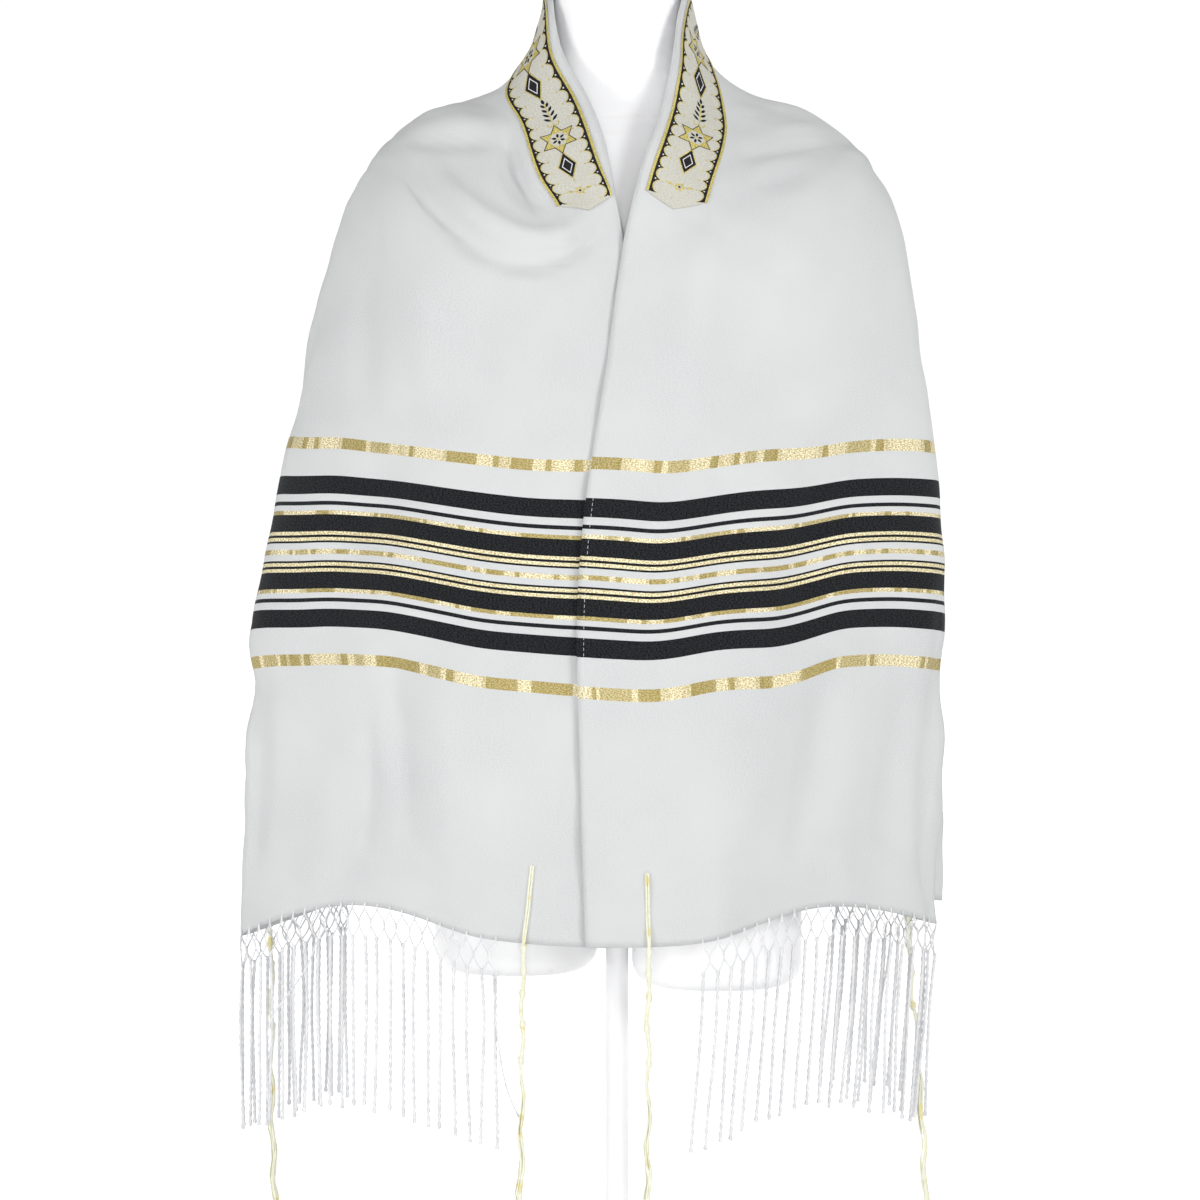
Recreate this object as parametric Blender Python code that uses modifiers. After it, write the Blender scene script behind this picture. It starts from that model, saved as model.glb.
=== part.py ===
"""A tallit, a fringed prayer shawl, worn like a cape on a limbless torso form that stands on a
plain round-based counter stand. Lengths in the tables are millimetres; the scene is in metres, +Z up,
with the origin on the stand's underside, on the axis of its pole. The wearer's front faces -Y."""

import math
from collections import namedtuple

import bmesh
import bpy
import numpy as np
from mathutils import Vector
from mathutils.bvhtree import BVHTree

MM = 0.001
SEAM_GAP = 0.3

# The woven cloth: one strip, its long edge round the neck.
CLOTH_LENGTH = 1930.0
CLOTH_WIDTH = 600.0
CLOTH_WALL = 1.5
TRUE_WIDTH_TO = 120.0

# The neckband sewn along the neck edge.
BAND_LINES = (9, 36, 63)
BAND_WALL = 1.2
BAND_LIFT = 0.68
BAND_END = {"left": 634.0, "right": 637.0}
BAND_POINT = 12.0
# Its left end was sewn nearer the edge than the rest: by how much at each distance across, and which
# weft threads are drawn in by what share of that.
BAND_DRAWS = [(0.0, 0.0), (9.0, 7.0), (36.0, 10.0), (63.0, 13.0), (125.0, 0.0)]
DRAWN_WEFTS = {591: 0.8, 634: 1.0, 670: 0.15}

# The knotted fringe on each short edge, as a plain wall of its reach.
FRINGE_DROP = 172.0
FRINGE_WALL = 1.5
FRINGE_GAP = 1.0
FRINGE_SPAN = {"left": (85.0, 520.0), "right": (98.0, 520.0)}

# The four corner tassels.
TASSEL_DIAMETER = 6.0
TASSEL_LIFT = 0.75
TASSEL_STEP = 10.0
Tassel = namedtuple("Tassel", "name side hole_along hole_across hem_across foot_x foot_y foot_z sway")
TASSELS = [
    Tassel("tassel_left_inner", "left", 72, 55, 61, -86, -128, 62, 1.5),
    Tassel("tassel_left_outer", "left", 70, 532, 538, -300, 34, 66, -3.0),
    Tassel("tassel_right_inner", "right", 68, 54, 53, 20, -136, 60, 2.0),
    Tassel("tassel_right_outer", "right", 74, 520, 514, 276, 22, 64, 3.0),
]

# The stand.
BASE_RADIUS = 140.0
BASE_THICKNESS = 12.0
BASE_EDGE = 3.0
HUB_RADIUS = 17.0
HUB_TOP = 34.0
POLE_RADIUS = 10.0
CROTCH_HEIGHT = 410.0

# A row for each weft thread that is placed: how far along the strip from the hem it lies, then the points
# it passes, from the neck edge or front opening round the body to the strip's outer edge.
Weft = namedtuple("Weft", "along edge front flank side valley crest end")

LEFT_WEFTS = [
    Weft(0, (-18, -127, 394), (-124, -118, 403), (-247, -62, 421), (-328, 0, 390),
         (-237, 20, 422), (-316, 42, 400), (-304, 88, 408)),
    Weft(110, (-17, -128, 500), (-124, -119, 506), (-246, -63, 526), (-323, 0, 512),
         (-238, 22, 519), (-314, 44, 500), (-310, 88, 482)),
    Weft(160, (-18, -129, 554), (-124, -119, 560), (-244, -64, 579), (-324, 0, 571),
         (-244, 23, 555), (-311, 46, 517), (-313, 78, 448)),
    Weft(214, (-18, -130, 609), (-125, -120, 614), (-242, -66, 632), (-321, 0, 630),
         (-250, 24, 606), (-305, 48, 540), (-312, 68, 424)),
    Weft(308, (-18, -131, 703), (-127, -122, 708), (-235, -70, 727), (-306, 0, 727),
         (-262, 25, 702), (-299, 52, 630), (-310, 78, 472)),
    Weft(403, (-9, -132, 798), (-124, -122, 802), (-222, -76, 822), (-285, 0, 825),
         (-268, 26, 800), (-290, 54, 715), (-298, 88, 548)),
    Weft(500, (1, -126, 895), (-114, -122, 892), (-205, -80, 915), (-260, -2, 930),
         (-276, 36, 896), (-286, 62, 806), (-284, 99, 622)),
    Weft(591, (6, -108, 988), (-99, -112, 985), (-180, -78, 1012), (-236, 0, 1028),
         (-258, 40, 970), (-262, 76, 862), (-252, 108, 686)),
    Weft(634, (-2, -104, 1027), (-78, -105, 1016), (-163, -77, 1038), (-226, 1, 1055),
         (-246, 43, 995), (-248, 81, 880), (-233, 113, 699)),
    Weft(670, (-7, -100, 1057), (-66, -97, 1040), (-150, -70, 1058), (-216, 0, 1072),
         (-236, 44, 1016), (-236, 84, 900), (-217, 118, 702)),
    Weft(750, (-31, -74, 1125), (-84, -62, 1100), (-139, -26, 1114), (-191, 10, 1098),
         (-210, 50, 1046), (-202, 92, 930), (-176, 128, 692)),
    Weft(790, (-49, -52, 1163), (-97, -34, 1127), (-141, 4, 1122), (-183, 39, 1087),
         (-189, 77, 1009), (-174, 108, 886), (-146, 134, 681)),
    Weft(830, (-57, -29, 1208), (-97, 6, 1138), (-135, 38, 1114), (-165, 74, 1061),
         (-160, 106, 960), (-140, 124, 830), (-112, 140, 668)),
    Weft(900, (-53, 42, 1232), (-70, 74, 1150), (-80, 97, 1090), (-88, 114, 1010),
         (-85, 123, 920), (-72, 134, 790), (-55, 148, 650)),
]
NAPE_WEFT = Weft(965, (0, 75, 1240), (0, 90, 1160), (0, 107, 1095), (0, 119, 1010),
                 (0, 126, 915), (0, 136, 785), (0, 152, 644))
RIGHT_WEFTS = [
    Weft(0, (-27, -131, 394), (86, -124, 401), (196, -68, 422), (277, -4, 401),
         (190, 18, 427), (292, 54, 415), (272, 92, 419)),
    Weft(110, (-31, -132, 500), (86, -125, 504), (198, -68, 528), (282, -4, 512),
         (196, 20, 517), (291, 54, 506), (274, 92, 488)),
    Weft(160, (-32, -133, 554), (86, -125, 559), (199, -68, 581), (287, -4, 571),
         (201, 21, 555), (280, 54, 520), (272, 86, 450)),
    Weft(214, (-34, -134, 609), (85, -126, 616), (200, -68, 634), (285, -4, 630),
         (206, 22, 606), (258, 46, 538), (268, 66, 420)),
    Weft(308, (-33, -135, 703), (85, -126, 708), (203, -68, 728), (284, -2, 727),
         (224, 24, 702), (256, 50, 628), (268, 76, 468)),
    Weft(403, (-23, -136, 797), (80, -126, 802), (200, -72, 820), (276, -2, 821),
         (240, 26, 800), (260, 52, 715), (268, 86, 546)),
    Weft(500, (-8, -130, 894), (79, -124, 896), (190, -76, 918), (262, -2, 930),
         (264, 36, 896), (272, 60, 806), (270, 98, 622)),
    Weft(591, (5, -112, 988), (82, -112, 985), (176, -78, 1015), (245, 0, 1025),
         (260, 42, 970), (262, 74, 860), (250, 108, 686)),
    Weft(670, (23, -104, 1061), (78, -98, 1042), (150, -70, 1058), (222, 0, 1070),
         (238, 44, 1016), (238, 84, 900), (218, 118, 703)),
    Weft(750, (42, -78, 1124), (86, -60, 1098), (146, -20, 1110), (203, 10, 1090),
         (216, 50, 1036), (204, 92, 925), (177, 128, 692)),
    Weft(830, (56, -32, 1208), (94, 5, 1143), (139, 37, 1118), (170, 74, 1060),
         (162, 106, 957), (140, 124, 830), (112, 140, 668)),
    Weft(900, (53, 42, 1232), (70, 74, 1150), (80, 97, 1090), (88, 114, 1010),
         (85, 123, 920), (72, 134, 790), (55, 148, 650)),
]

# Soft pleats down the back and sides, where the strip turns the corner of the shoulder: each stands
# proud by its height at the outer edge and dies out towards the neck.
Pleat = namedtuple("Pleat", "side along spread starts full height")
PLEATS = [
    Pleat("left", 905, 26, 190, 520, 13),
    Pleat("left", 815, 24, 270, 550, 20),
    Pleat("left", 722, 24, 310, 570, 25),
    Pleat("left", 628, 25, 330, 570, 26),
    Pleat("left", 530, 26, 380, 590, 18),
    Pleat("left", 432, 24, 420, 590, 9),
    Pleat("right", 935, 24, 210, 540, 11),
    Pleat("right", 850, 27, 250, 540, 19),
    Pleat("right", 752, 24, 310, 570, 24),
    Pleat("right", 660, 26, 340, 570, 27),
    Pleat("right", 560, 26, 370, 590, 18),
    Pleat("right", 455, 24, 410, 590, 9),
]

# The wall's grid lines: across the strip, and along each half of it.
ACROSS = [0, 9, 36, 63, 104, 150, 195, 240, 280, 315, 342, 366, 392, 420, 450, 480, 508, 535, 568, 600]
ALONG_STEP = 23.0

# The cloth is lifted off the form in rounds, to a seam's gap and a little spare; cells of the grid farther
# off than the reach are left alone.
CLEARING_ROUNDS = 16
CLEARING_SPARE = 0.25
CLEARING_REACH = 40.0
CLEARING_SPREAD = 0.8

# A row for each level of the torso form.
Level = namedtuple("Level", "height half_width front back squareness")
TORSO = [
    Level(410, 128, -66, 80, 2.4),
    Level(420, 148, -80, 96, 2.5),
    Level(440, 158, -88, 105, 2.6),
    Level(500, 163, -94, 112, 2.6),
    Level(560, 160, -96, 112, 2.5),
    Level(630, 151, -94, 103, 2.3),
    Level(720, 145, -91, 94, 2.2),
    Level(800, 154, -97, 98, 2.2),
    Level(900, 174, -106, 108, 2.2),
    Level(980, 190, -104, 112, 2.2),
    Level(1030, 198, -92, 108, 2.2),
    Level(1064, 198, -78, 98, 2.15),
    Level(1086, 189, -66, 88, 2.1),
    Level(1101, 162, -58, 80, 2.1),
    Level(1111, 136, -56, 74, 2.1),
    Level(1120, 114, -55, 69, 2.0),
    Level(1129, 94, -54, 64, 2.0),
    Level(1140, 80, -55, 61, 2.0),
    Level(1158, 64, -56, 60, 2.0),
    Level(1185, 58, -55, 58, 2.0),
    Level(1262, 57, -54, 57, 2.0),
    Level(1270, 54, -51, 54, 2.0),
    Level(1275, 47, -44, 47, 2.0),
]
TORSO_BETWEEN = {470, 530, 595, 675, 760, 850, 940, 1005, 1048, 1220}
TORSO_SIDES = 36

# A row for each of the two short stumps that close the form below.
Stump = namedtuple("Stump", "name inner outer foot")
STUMPS = [Stump("left", -17, -160, 362), Stump("right", 13, 162, 349)]
STUMP_FRONT = -84.0
STUMP_BACK = 101.0
STUMP_TOP = 500.0
STUMP_TAPER = 10.0
STUMP_ROUND = 20.0
STUMP_SQUARENESS = 2.4
STUMP_SIDES = 32

WHITE_CLOTH = (0.80, 0.81, 0.80)
CREAM_CLOTH = (0.83, 0.80, 0.70)
TASSEL_YELLOW = (0.86, 0.72, 0.30)
FORM_WHITE = (0.86, 0.87, 0.90)
STAND_WHITE = (0.85, 0.85, 0.86)


def clear_scene():
    for thing in list(bpy.data.objects):
        bpy.data.objects.remove(thing)


def new_collection(name):
    made = bpy.data.collections.new(name)
    bpy.context.scene.collection.children.link(made)
    return made


def material(name, colour, roughness, metallic=0.0):
    made = bpy.data.materials.new(name)
    made.use_nodes = True
    shader = made.node_tree.nodes["Principled BSDF"]
    shader.inputs["Base Color"].default_value = (*colour, 1.0)
    shader.inputs["Roughness"].default_value = roughness
    shader.inputs["Metallic"].default_value = metallic
    return made


def add_object(name, data, finish, collection):
    made = bpy.data.objects.new(name, data)
    made.data.materials.append(finish)
    collection.objects.link(made)
    return made


def smoothstep(low, high, value):
    share = np.clip((value - low) / (high - low), 0.0, 1.0)
    return share * share * (3.0 - 2.0 * share)


def cubic_through(stations, values, wanted):
    """Values at the wanted stations, on the natural cubic spline through the given ones."""
    stations = np.asarray(stations, float)
    values = np.asarray(values, float)
    wanted = np.asarray(wanted, float)
    count = len(stations)
    step = np.diff(stations)
    slope = np.diff(values, axis=0) / step.reshape(-1, *[1] * (values.ndim - 1))
    system = np.eye(count)
    right = np.zeros_like(values)
    for k in range(1, count - 1):
        system[k, k - 1] = step[k - 1]
        system[k, k] = 2.0 * (step[k - 1] + step[k])
        system[k, k + 1] = step[k]
        right[k] = 6.0 * (slope[k] - slope[k - 1])
    bend = np.linalg.solve(system, right.reshape(count, -1)).reshape(values.shape)
    piece = np.clip(np.searchsorted(stations, wanted, side="right") - 1, 0, count - 2)
    shape = (-1, *[1] * (values.ndim - 1))
    width = step[piece].reshape(shape)
    after = (wanted - stations[piece]).reshape(shape)
    before = width - after
    return (
        bend[piece] * before**3 / (6.0 * width)
        + bend[piece + 1] * after**3 / (6.0 * width)
        + (values[piece] / width - bend[piece] * width / 6.0) * before
        + (values[piece + 1] / width - bend[piece + 1] * width / 6.0) * after
    )


def distances_along(points):
    steps = np.linalg.norm(np.diff(points, axis=0), axis=1)
    return np.concatenate([[0.0], np.cumsum(steps)])


def weft_curve(weft, across):
    """Points of one weft thread at the given distances from the neck edge. Near that edge the distances are
    true; past it the thread takes up or gives out what the fall of the cloth needs."""
    knots = np.array(weft[1:], float)
    fine = cubic_through(distances_along(knots), knots, np.linspace(0, distances_along(knots)[-1], 240))
    length = distances_along(fine)
    across = np.asarray(across, float)
    beyond = (length[-1] - TRUE_WIDTH_TO) / (CLOTH_WIDTH - TRUE_WIDTH_TO)
    true_at = np.where(across < TRUE_WIDTH_TO, across, TRUE_WIDTH_TO + (across - TRUE_WIDTH_TO) * beyond)
    return np.stack([np.interp(true_at, length, fine[:, axis]) for axis in range(3)], axis=1)


def whole_strip():
    """Every placed weft with its distance from the left hem, over the nape to the right hem."""
    rows = [(weft.along, weft) for weft in LEFT_WEFTS]
    rows.append((NAPE_WEFT.along, NAPE_WEFT))
    rows += [(CLOTH_LENGTH - weft.along, weft) for weft in reversed(RIGHT_WEFTS)]
    return rows


def grid_normals(points):
    """Outward unit normals of a grid of points."""
    along = np.gradient(points, axis=0)
    across = np.gradient(points, axis=1)
    normal = np.cross(along, across)
    return normal / np.linalg.norm(normal, axis=2, keepdims=True)


def pleated(points, along, across):
    """The grid with the pleats added along its normals."""
    normals = grid_normals(points)
    lift = np.zeros(points.shape[:2])
    for pleat in PLEATS:
        middle = pleat.along if pleat.side == "left" else CLOTH_LENGTH - pleat.along
        round_crest = np.exp(-(((along - middle) / pleat.spread) ** 2))
        growing = smoothstep(pleat.starts, pleat.full, across) ** 1.3
        lift += pleat.height * np.outer(round_crest, growing)
    return points + normals * lift[:, :, None]


def drawn_in(across, station):
    """Distances across the cloth, less what the left end of the neckband draws them towards the edge."""
    nearer = np.interp(across, *zip(*BAND_DRAWS))
    return np.asarray(across, float) - nearer * DRAWN_WEFTS.get(station, 0.0)


def cloth_surface(along, across):
    """The middle of the cloth wall, as a grid of points: rows along the strip, columns across it."""
    rows = whole_strip()
    placed = np.array([weft_curve(weft, drawn_in(across, station)) for station, weft in rows])
    points = cubic_through([station for station, _ in rows], placed, along)
    return pleated(points, np.asarray(along, float), np.asarray(across, float))


def shortfall(spot, tree, gap):
    """How far, and which way, a spot has to move to lie the gap outside the form."""
    nearest, facing, _, reach = tree.find_nearest(Vector(spot))
    inside = (Vector(spot) - nearest).dot(facing) < 0.0
    missing = gap + reach if inside else gap - reach
    return np.array(facing) * max(missing, 0.0)


def spread_out(push):
    """Each point's move, or a share of what its neighbours move, so that the lifted cloth has no kinks."""
    padded = np.pad(push, ((1, 1), (1, 1), (0, 0)), mode="edge")
    nearby = (padded[:-2, 1:-1] + padded[2:, 1:-1] + padded[1:-1, :-2] + padded[1:-1, 2:]) / 4.0
    own = np.linalg.norm(push, axis=2, keepdims=True)
    shared = nearby * CLEARING_SPREAD
    return np.where(own > np.linalg.norm(shared, axis=2, keepdims=True), push, shared)


def kept_clear(points, tree, gap):
    """The grid, moved out wherever it, or a facet of it, comes nearer to the form than the gap."""
    moved = points.copy()
    rows, columns = points.shape[:2]
    shares = (0.0, 0.25, 0.5, 0.75)
    for _ in range(CLEARING_ROUNDS):
        push = np.zeros_like(moved)
        for row, column in np.ndindex(rows - 1, columns - 1):
            corners = moved[row : row + 2, column : column + 2]
            if tree.find_nearest(Vector(corners.mean(axis=(0, 1))))[3] > CLEARING_REACH:
                continue
            for down in shares:
                for over in shares:
                    weights = np.outer([1.0 - down, down], [1.0 - over, over])[:, :, None]
                    need = shortfall((corners * weights).sum(axis=(0, 1)), tree, gap)
                    if not need.any():
                        continue
                    for k, m in np.ndindex(2, 2):
                        wanted = need * min(1.0, 4.0 * weights[k, m, 0])
                        if wanted @ wanted > push[row + k, column + m] @ push[row + k, column + m]:
                            push[row + k, column + m] = wanted
        moved += spread_out(push)
    return moved


def grid_faces(rows, columns):
    """The four-sided faces of a grid, facing out of the cloth."""
    faces = []
    for row in range(rows - 1):
        for column in range(columns - 1):
            first = row * columns + column
            faces.append((first, first + columns, first + columns + 1, first + 1))
    return faces


def wall_object(name, points, faces, finish, collection, thickness):
    """A wall of the given thickness on both sides of a sheet of points in millimetres."""
    mesh = bpy.data.meshes.new(name)
    mesh.from_pydata([tuple(point * MM) for point in points], [], faces)
    mesh.shade_smooth()
    made = add_object(name, mesh, finish, collection)
    wall = made.modifiers.new("wall", "SOLIDIFY")
    wall.thickness = thickness * MM
    wall.offset = 0.0
    return made


def along_lines():
    """Grid stations along the strip, with one at each end of the neckband and at its points."""
    left = BAND_END["left"]
    right = CLOTH_LENGTH - BAND_END["right"]
    ends = [0.0, left - BAND_POINT, left, right, right + BAND_POINT, CLOTH_LENGTH]
    lines = [0.0]
    for start, stop in zip(ends, ends[1:]):
        count = max(1, round((stop - start) / ALONG_STEP))
        lines += list(np.linspace(start, stop, count + 1)[1:])
    return np.array(lines)


def make_shawl(surface, finish, collection):
    rows, columns = surface.shape[:2]
    points = surface.reshape(-1, 3)
    return wall_object("shawl", points, grid_faces(rows, columns), finish, collection, CLOTH_WALL)


def make_neckband(surface, normals, lines, finish, collection):
    """The band lies on the cloth: it follows the cloth's grid, moved out, and ends in points."""
    first = int(np.argmin(np.abs(lines - BAND_END["left"])))
    last = int(np.argmin(np.abs(lines - (CLOTH_LENGTH - BAND_END["right"]))))
    columns = [ACROSS.index(place) for place in BAND_LINES]
    middle = columns[1]
    lift = CLOTH_WALL / 2 + BAND_LIFT + BAND_WALL / 2
    moved = surface + normals * lift
    band = moved[first : last + 1, columns]
    rows = band.shape[0]
    points = [*band.reshape(-1, 3), moved[first - 1, middle], moved[last + 1, middle]]
    left_tip = rows * 3
    right_tip = left_tip + 1
    end = left_tip - 3
    faces = grid_faces(rows, 3)
    faces += [(left_tip, 0, 1), (left_tip, 1, 2)]
    faces += [(right_tip, end + 1, end), (right_tip, end + 2, end + 1)]
    return wall_object("neckband", points, faces, finish, collection, BAND_WALL)


def on_grid(grid, lines, along, across):
    """The value of a grid at any place on the cloth, between its lines."""
    row = int(np.clip(np.searchsorted(lines, along, side="right") - 1, 0, len(lines) - 2))
    column = int(np.clip(np.searchsorted(ACROSS, across, side="right") - 1, 0, len(ACROSS) - 2))
    down = (along - lines[row]) / (lines[row + 1] - lines[row])
    over = (across - ACROSS[column]) / (ACROSS[column + 1] - ACROSS[column])
    near = grid[row, column] * (1.0 - over) + grid[row, column + 1] * over
    far = grid[row + 1, column] * (1.0 - over) + grid[row + 1, column + 1] * over
    return near * (1.0 - down) + far * down


def make_fringe(side, surface, lines, finish, collection):
    """The fringe hangs straight down from the hem, a seam's gap below it."""
    start, stop = FRINGE_SPAN[side]
    across = [start, *[line for line in ACROSS if start < line < stop], stop]
    along = 0.0 if side == "left" else CLOTH_LENGTH
    hem = np.array([on_grid(surface, lines, along, place) for place in across])
    drops = FRINGE_GAP + np.array([0.0, FRINGE_DROP / 2, FRINGE_DROP])
    wall = np.repeat(hem[None, :, :], len(drops), axis=0)
    wall[:, :, 2] -= drops[:, None]
    if side == "left":
        wall = wall[::-1]
    points = wall.reshape(-1, 3)
    faces = grid_faces(len(drops), len(across))
    return wall_object("fringe_" + side, points, faces, finish, collection, FRINGE_WALL)


def ring_of(level, sides):
    """One level of the form: an oval that is squarer or rounder, deeper behind than in front."""
    points = []
    for step in range(sides):
        turn = 2.0 * math.pi * step / sides
        c, s = math.cos(turn), math.sin(turn)
        power = 2.0 / level.squareness
        x = level.half_width * math.copysign(abs(c) ** power, c)
        depth = level.back if s > 0 else -level.front
        y = depth * math.copysign(abs(s) ** power, s)
        points.append((x * MM, y * MM, level.height * MM))
    return points


def loft(name, rings):
    """A closed mesh through rings of equally many points, lowest first."""
    bm = bmesh.new()
    layers = [[bm.verts.new(point) for point in ring] for ring in rings]
    sides = len(layers[0])
    for lower, upper in zip(layers, layers[1:]):
        for k in range(sides):
            bm.faces.new((lower[k], lower[(k + 1) % sides], upper[(k + 1) % sides], upper[k]))
    bm.faces.new(list(reversed(layers[0])))
    bm.faces.new(layers[-1])
    mesh = bpy.data.meshes.new(name)
    bm.to_mesh(mesh)
    bm.free()
    return mesh


def torso_levels():
    """The table's levels, with more between them."""
    heights = [level.height for level in TORSO]
    wanted = sorted(TORSO_BETWEEN.union(heights))
    values = [level[1:] for level in TORSO]
    smooth = [np.interp(wanted, heights, [value[k] for value in values]) for k in range(4)]
    return [Level(height, *[column[k] for column in smooth]) for k, height in enumerate(wanted)]


def stump_rings(stump):
    """Rings of one stump, from its flat foot over a rounded edge to inside the torso."""
    centre = (stump.inner + stump.outer) / 2
    half_width = abs(stump.outer - stump.inner) / 2
    rings = []
    for share in (0.0, 0.35, 0.7, 1.0):
        angle = share * math.pi / 2
        pull = STUMP_ROUND * (1.0 - math.sin(angle))
        height = stump.foot + STUMP_ROUND * (1.0 - math.cos(angle))
        rings.append((height, pull))
    rings.append((CROTCH_HEIGHT + STUMP_ROUND, 0.0))
    rings.append((STUMP_TOP, STUMP_TAPER))
    made = []
    for height, pull in rings:
        level = Level(height, half_width - pull, STUMP_FRONT + pull, STUMP_BACK - pull, STUMP_SQUARENESS)
        made.append([(x + centre * MM, y, z) for x, y, z in ring_of(level, STUMP_SIDES)])
    return made


def make_form(finish, collection, cutters):
    torso = add_object(
        "dress_form",
        loft("dress_form", [ring_of(level, TORSO_SIDES) for level in torso_levels()]),
        finish,
        collection,
    )
    torso.data.shade_smooth()
    for stump in STUMPS:
        name = "stump_" + stump.name
        leg = add_object(name, loft(name, stump_rings(stump)), finish, cutters)
        leg.hide_render = True
        leg.display_type = "WIRE"
        union = torso.modifiers.new("with_" + leg.name, "BOOLEAN")
        union.operation = "UNION"
        union.object = leg
    return torso


def tassel_route(tassel, surface, normals, lines):
    """From the hole in the corner down the face of the cloth to the hem, then hanging to its foot."""
    lift = CLOTH_WALL / 2 + TASSEL_LIFT + TASSEL_DIAMETER / 2
    route = []
    for share in (0.0, 0.5, 1.0):
        along = tassel.hole_along * (1.0 - share)
        across = tassel.hole_across + (tassel.hem_across - tassel.hole_across) * share
        if tassel.side == "right":
            along = CLOTH_LENGTH - along
        on_cloth = on_grid(surface, lines, along, across)
        route.append(on_cloth + on_grid(normals, lines, along, across) * lift)
    hem = route[-1]
    foot = np.array([tassel.foot_x, tassel.foot_y, tassel.foot_z])
    route.append(hem + (foot - hem) * 0.12)
    route.append(hem + (foot - hem) * 0.5 + np.array([tassel.sway, 0.0, 0.0]))
    route.append(foot)
    return np.array(route)


def make_tassel(name, route, finish, collection):
    length = distances_along(route)
    count = int(length[-1] // TASSEL_STEP) + 1
    points = cubic_through(length, route, np.linspace(0.0, length[-1], count))
    curve = bpy.data.curves.new(name, "CURVE")
    curve.dimensions = "3D"
    curve.bevel_depth = TASSEL_DIAMETER / 2 * MM
    curve.bevel_resolution = 2
    curve.use_fill_caps = True
    spline = curve.splines.new("POLY")
    spline.points.add(count - 1)
    for spot, point in zip(spline.points, points):
        spot.co = (*(point * MM), 1.0)
    return add_object(name, curve, finish, collection)


def turned(name, profile, sides, finish, collection):
    """A turned piece: its profile runs down the outer side, from the axis at the top to the axis below."""
    mesh = bpy.data.meshes.new(name)
    corners = [(radius * MM, 0.0, height * MM) for radius, height in profile]
    mesh.from_pydata(corners, [(k, k + 1) for k in range(len(corners) - 1)], [])
    made = add_object(name, mesh, finish, collection)
    screw = made.modifiers.new("turned", "SCREW")
    screw.steps = sides
    screw.render_steps = sides
    screw.use_merge_vertices = True
    screw.merge_threshold = 0.00005
    screw.use_smooth_shade = True
    return made


def make_stand(finish, collection):
    pole_foot = HUB_TOP + SEAM_GAP
    pole_head = CROTCH_HEIGHT - SEAM_GAP
    turned(
        "stand_base",
        [
            (0, HUB_TOP),
            (HUB_RADIUS - 1, HUB_TOP),
            (HUB_RADIUS, HUB_TOP - 1),
            (HUB_RADIUS, BASE_THICKNESS + 2),
            (HUB_RADIUS + 2, BASE_THICKNESS),
            (BASE_RADIUS - BASE_EDGE, BASE_THICKNESS),
            (BASE_RADIUS, BASE_THICKNESS - BASE_EDGE),
            (BASE_RADIUS, 1),
            (BASE_RADIUS - 1, 0),
            (0, 0),
        ],
        64,
        finish,
        collection,
    )
    turned(
        "stand_pole",
        [(0, pole_head), (POLE_RADIUS, pole_head), (POLE_RADIUS, pole_foot), (0, pole_foot)],
        32,
        finish,
        collection,
    )


def main():
    clear_scene()
    shawl_parts = new_collection("tallit_on_form")
    cutters = new_collection("cutters")
    cutters.hide_render = True
    white = material("white_cloth", WHITE_CLOTH, 0.75)
    cream = material("neckband_cloth", CREAM_CLOTH, 0.5)
    yellow = material("tassel_yarn", TASSEL_YELLOW, 0.7)
    gloss = material("form_plastic", FORM_WHITE, 0.18)
    satin = material("stand_paint", STAND_WHITE, 0.35)

    form = make_form(gloss, shawl_parts, cutters)
    make_stand(satin, shawl_parts)

    bm = bmesh.new()
    bm.from_mesh(form.data)
    for corner in bm.verts:
        corner.co /= MM
    tree = BVHTree.FromBMesh(bm)
    bm.free()
    gap = CLOTH_WALL / 2 + SEAM_GAP + CLEARING_SPARE

    lines = along_lines()
    surface = kept_clear(cloth_surface(lines, ACROSS), tree, gap)
    normals = grid_normals(surface)
    make_shawl(surface, white, shawl_parts)
    make_neckband(surface, normals, lines, cream, shawl_parts)

    for side in ("left", "right"):
        make_fringe(side, surface, lines, white, shawl_parts)
    for tassel in TASSELS:
        make_tassel(tassel.name, tassel_route(tassel, surface, normals, lines), yellow, shawl_parts)


main()
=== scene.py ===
# %% [markdown]
# # A tallit on a torso form
# A tallit is a prayer shawl: one long strip of woven cloth with stripes near both ends, a band sewn along
# the neck edge, a knotted fringe on each short edge and a wound tassel at each corner. Here it is worn like
# a cape on a torso form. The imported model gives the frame: every place below is in its metres, and every
# piece is made around its solids, so nothing has to be fitted afterwards.

# %% Load the frame
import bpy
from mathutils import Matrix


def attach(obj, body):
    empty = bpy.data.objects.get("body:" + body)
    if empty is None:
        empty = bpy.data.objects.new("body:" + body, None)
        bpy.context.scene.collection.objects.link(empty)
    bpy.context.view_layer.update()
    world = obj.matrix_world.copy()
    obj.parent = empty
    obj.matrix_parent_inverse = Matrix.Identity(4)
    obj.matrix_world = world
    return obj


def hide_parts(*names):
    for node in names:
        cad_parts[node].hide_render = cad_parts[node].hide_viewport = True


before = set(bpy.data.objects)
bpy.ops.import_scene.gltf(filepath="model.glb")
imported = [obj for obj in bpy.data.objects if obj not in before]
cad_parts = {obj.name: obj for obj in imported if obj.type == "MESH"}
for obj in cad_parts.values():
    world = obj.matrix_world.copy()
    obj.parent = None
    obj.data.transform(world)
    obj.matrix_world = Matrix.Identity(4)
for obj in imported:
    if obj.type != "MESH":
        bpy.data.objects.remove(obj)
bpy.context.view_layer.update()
print("frame loaded, nodes:", sorted(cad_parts))

# %% [markdown]
# ## The tools
# A weaver and a tailor measure in millimetres, so the tables do too, and MM turns them into the scene's
# metres. NumPy works out whole grids of points at once, which keeps each formula as short as on paper.

# %% Tools and units
import math
import random
from collections import namedtuple

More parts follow.
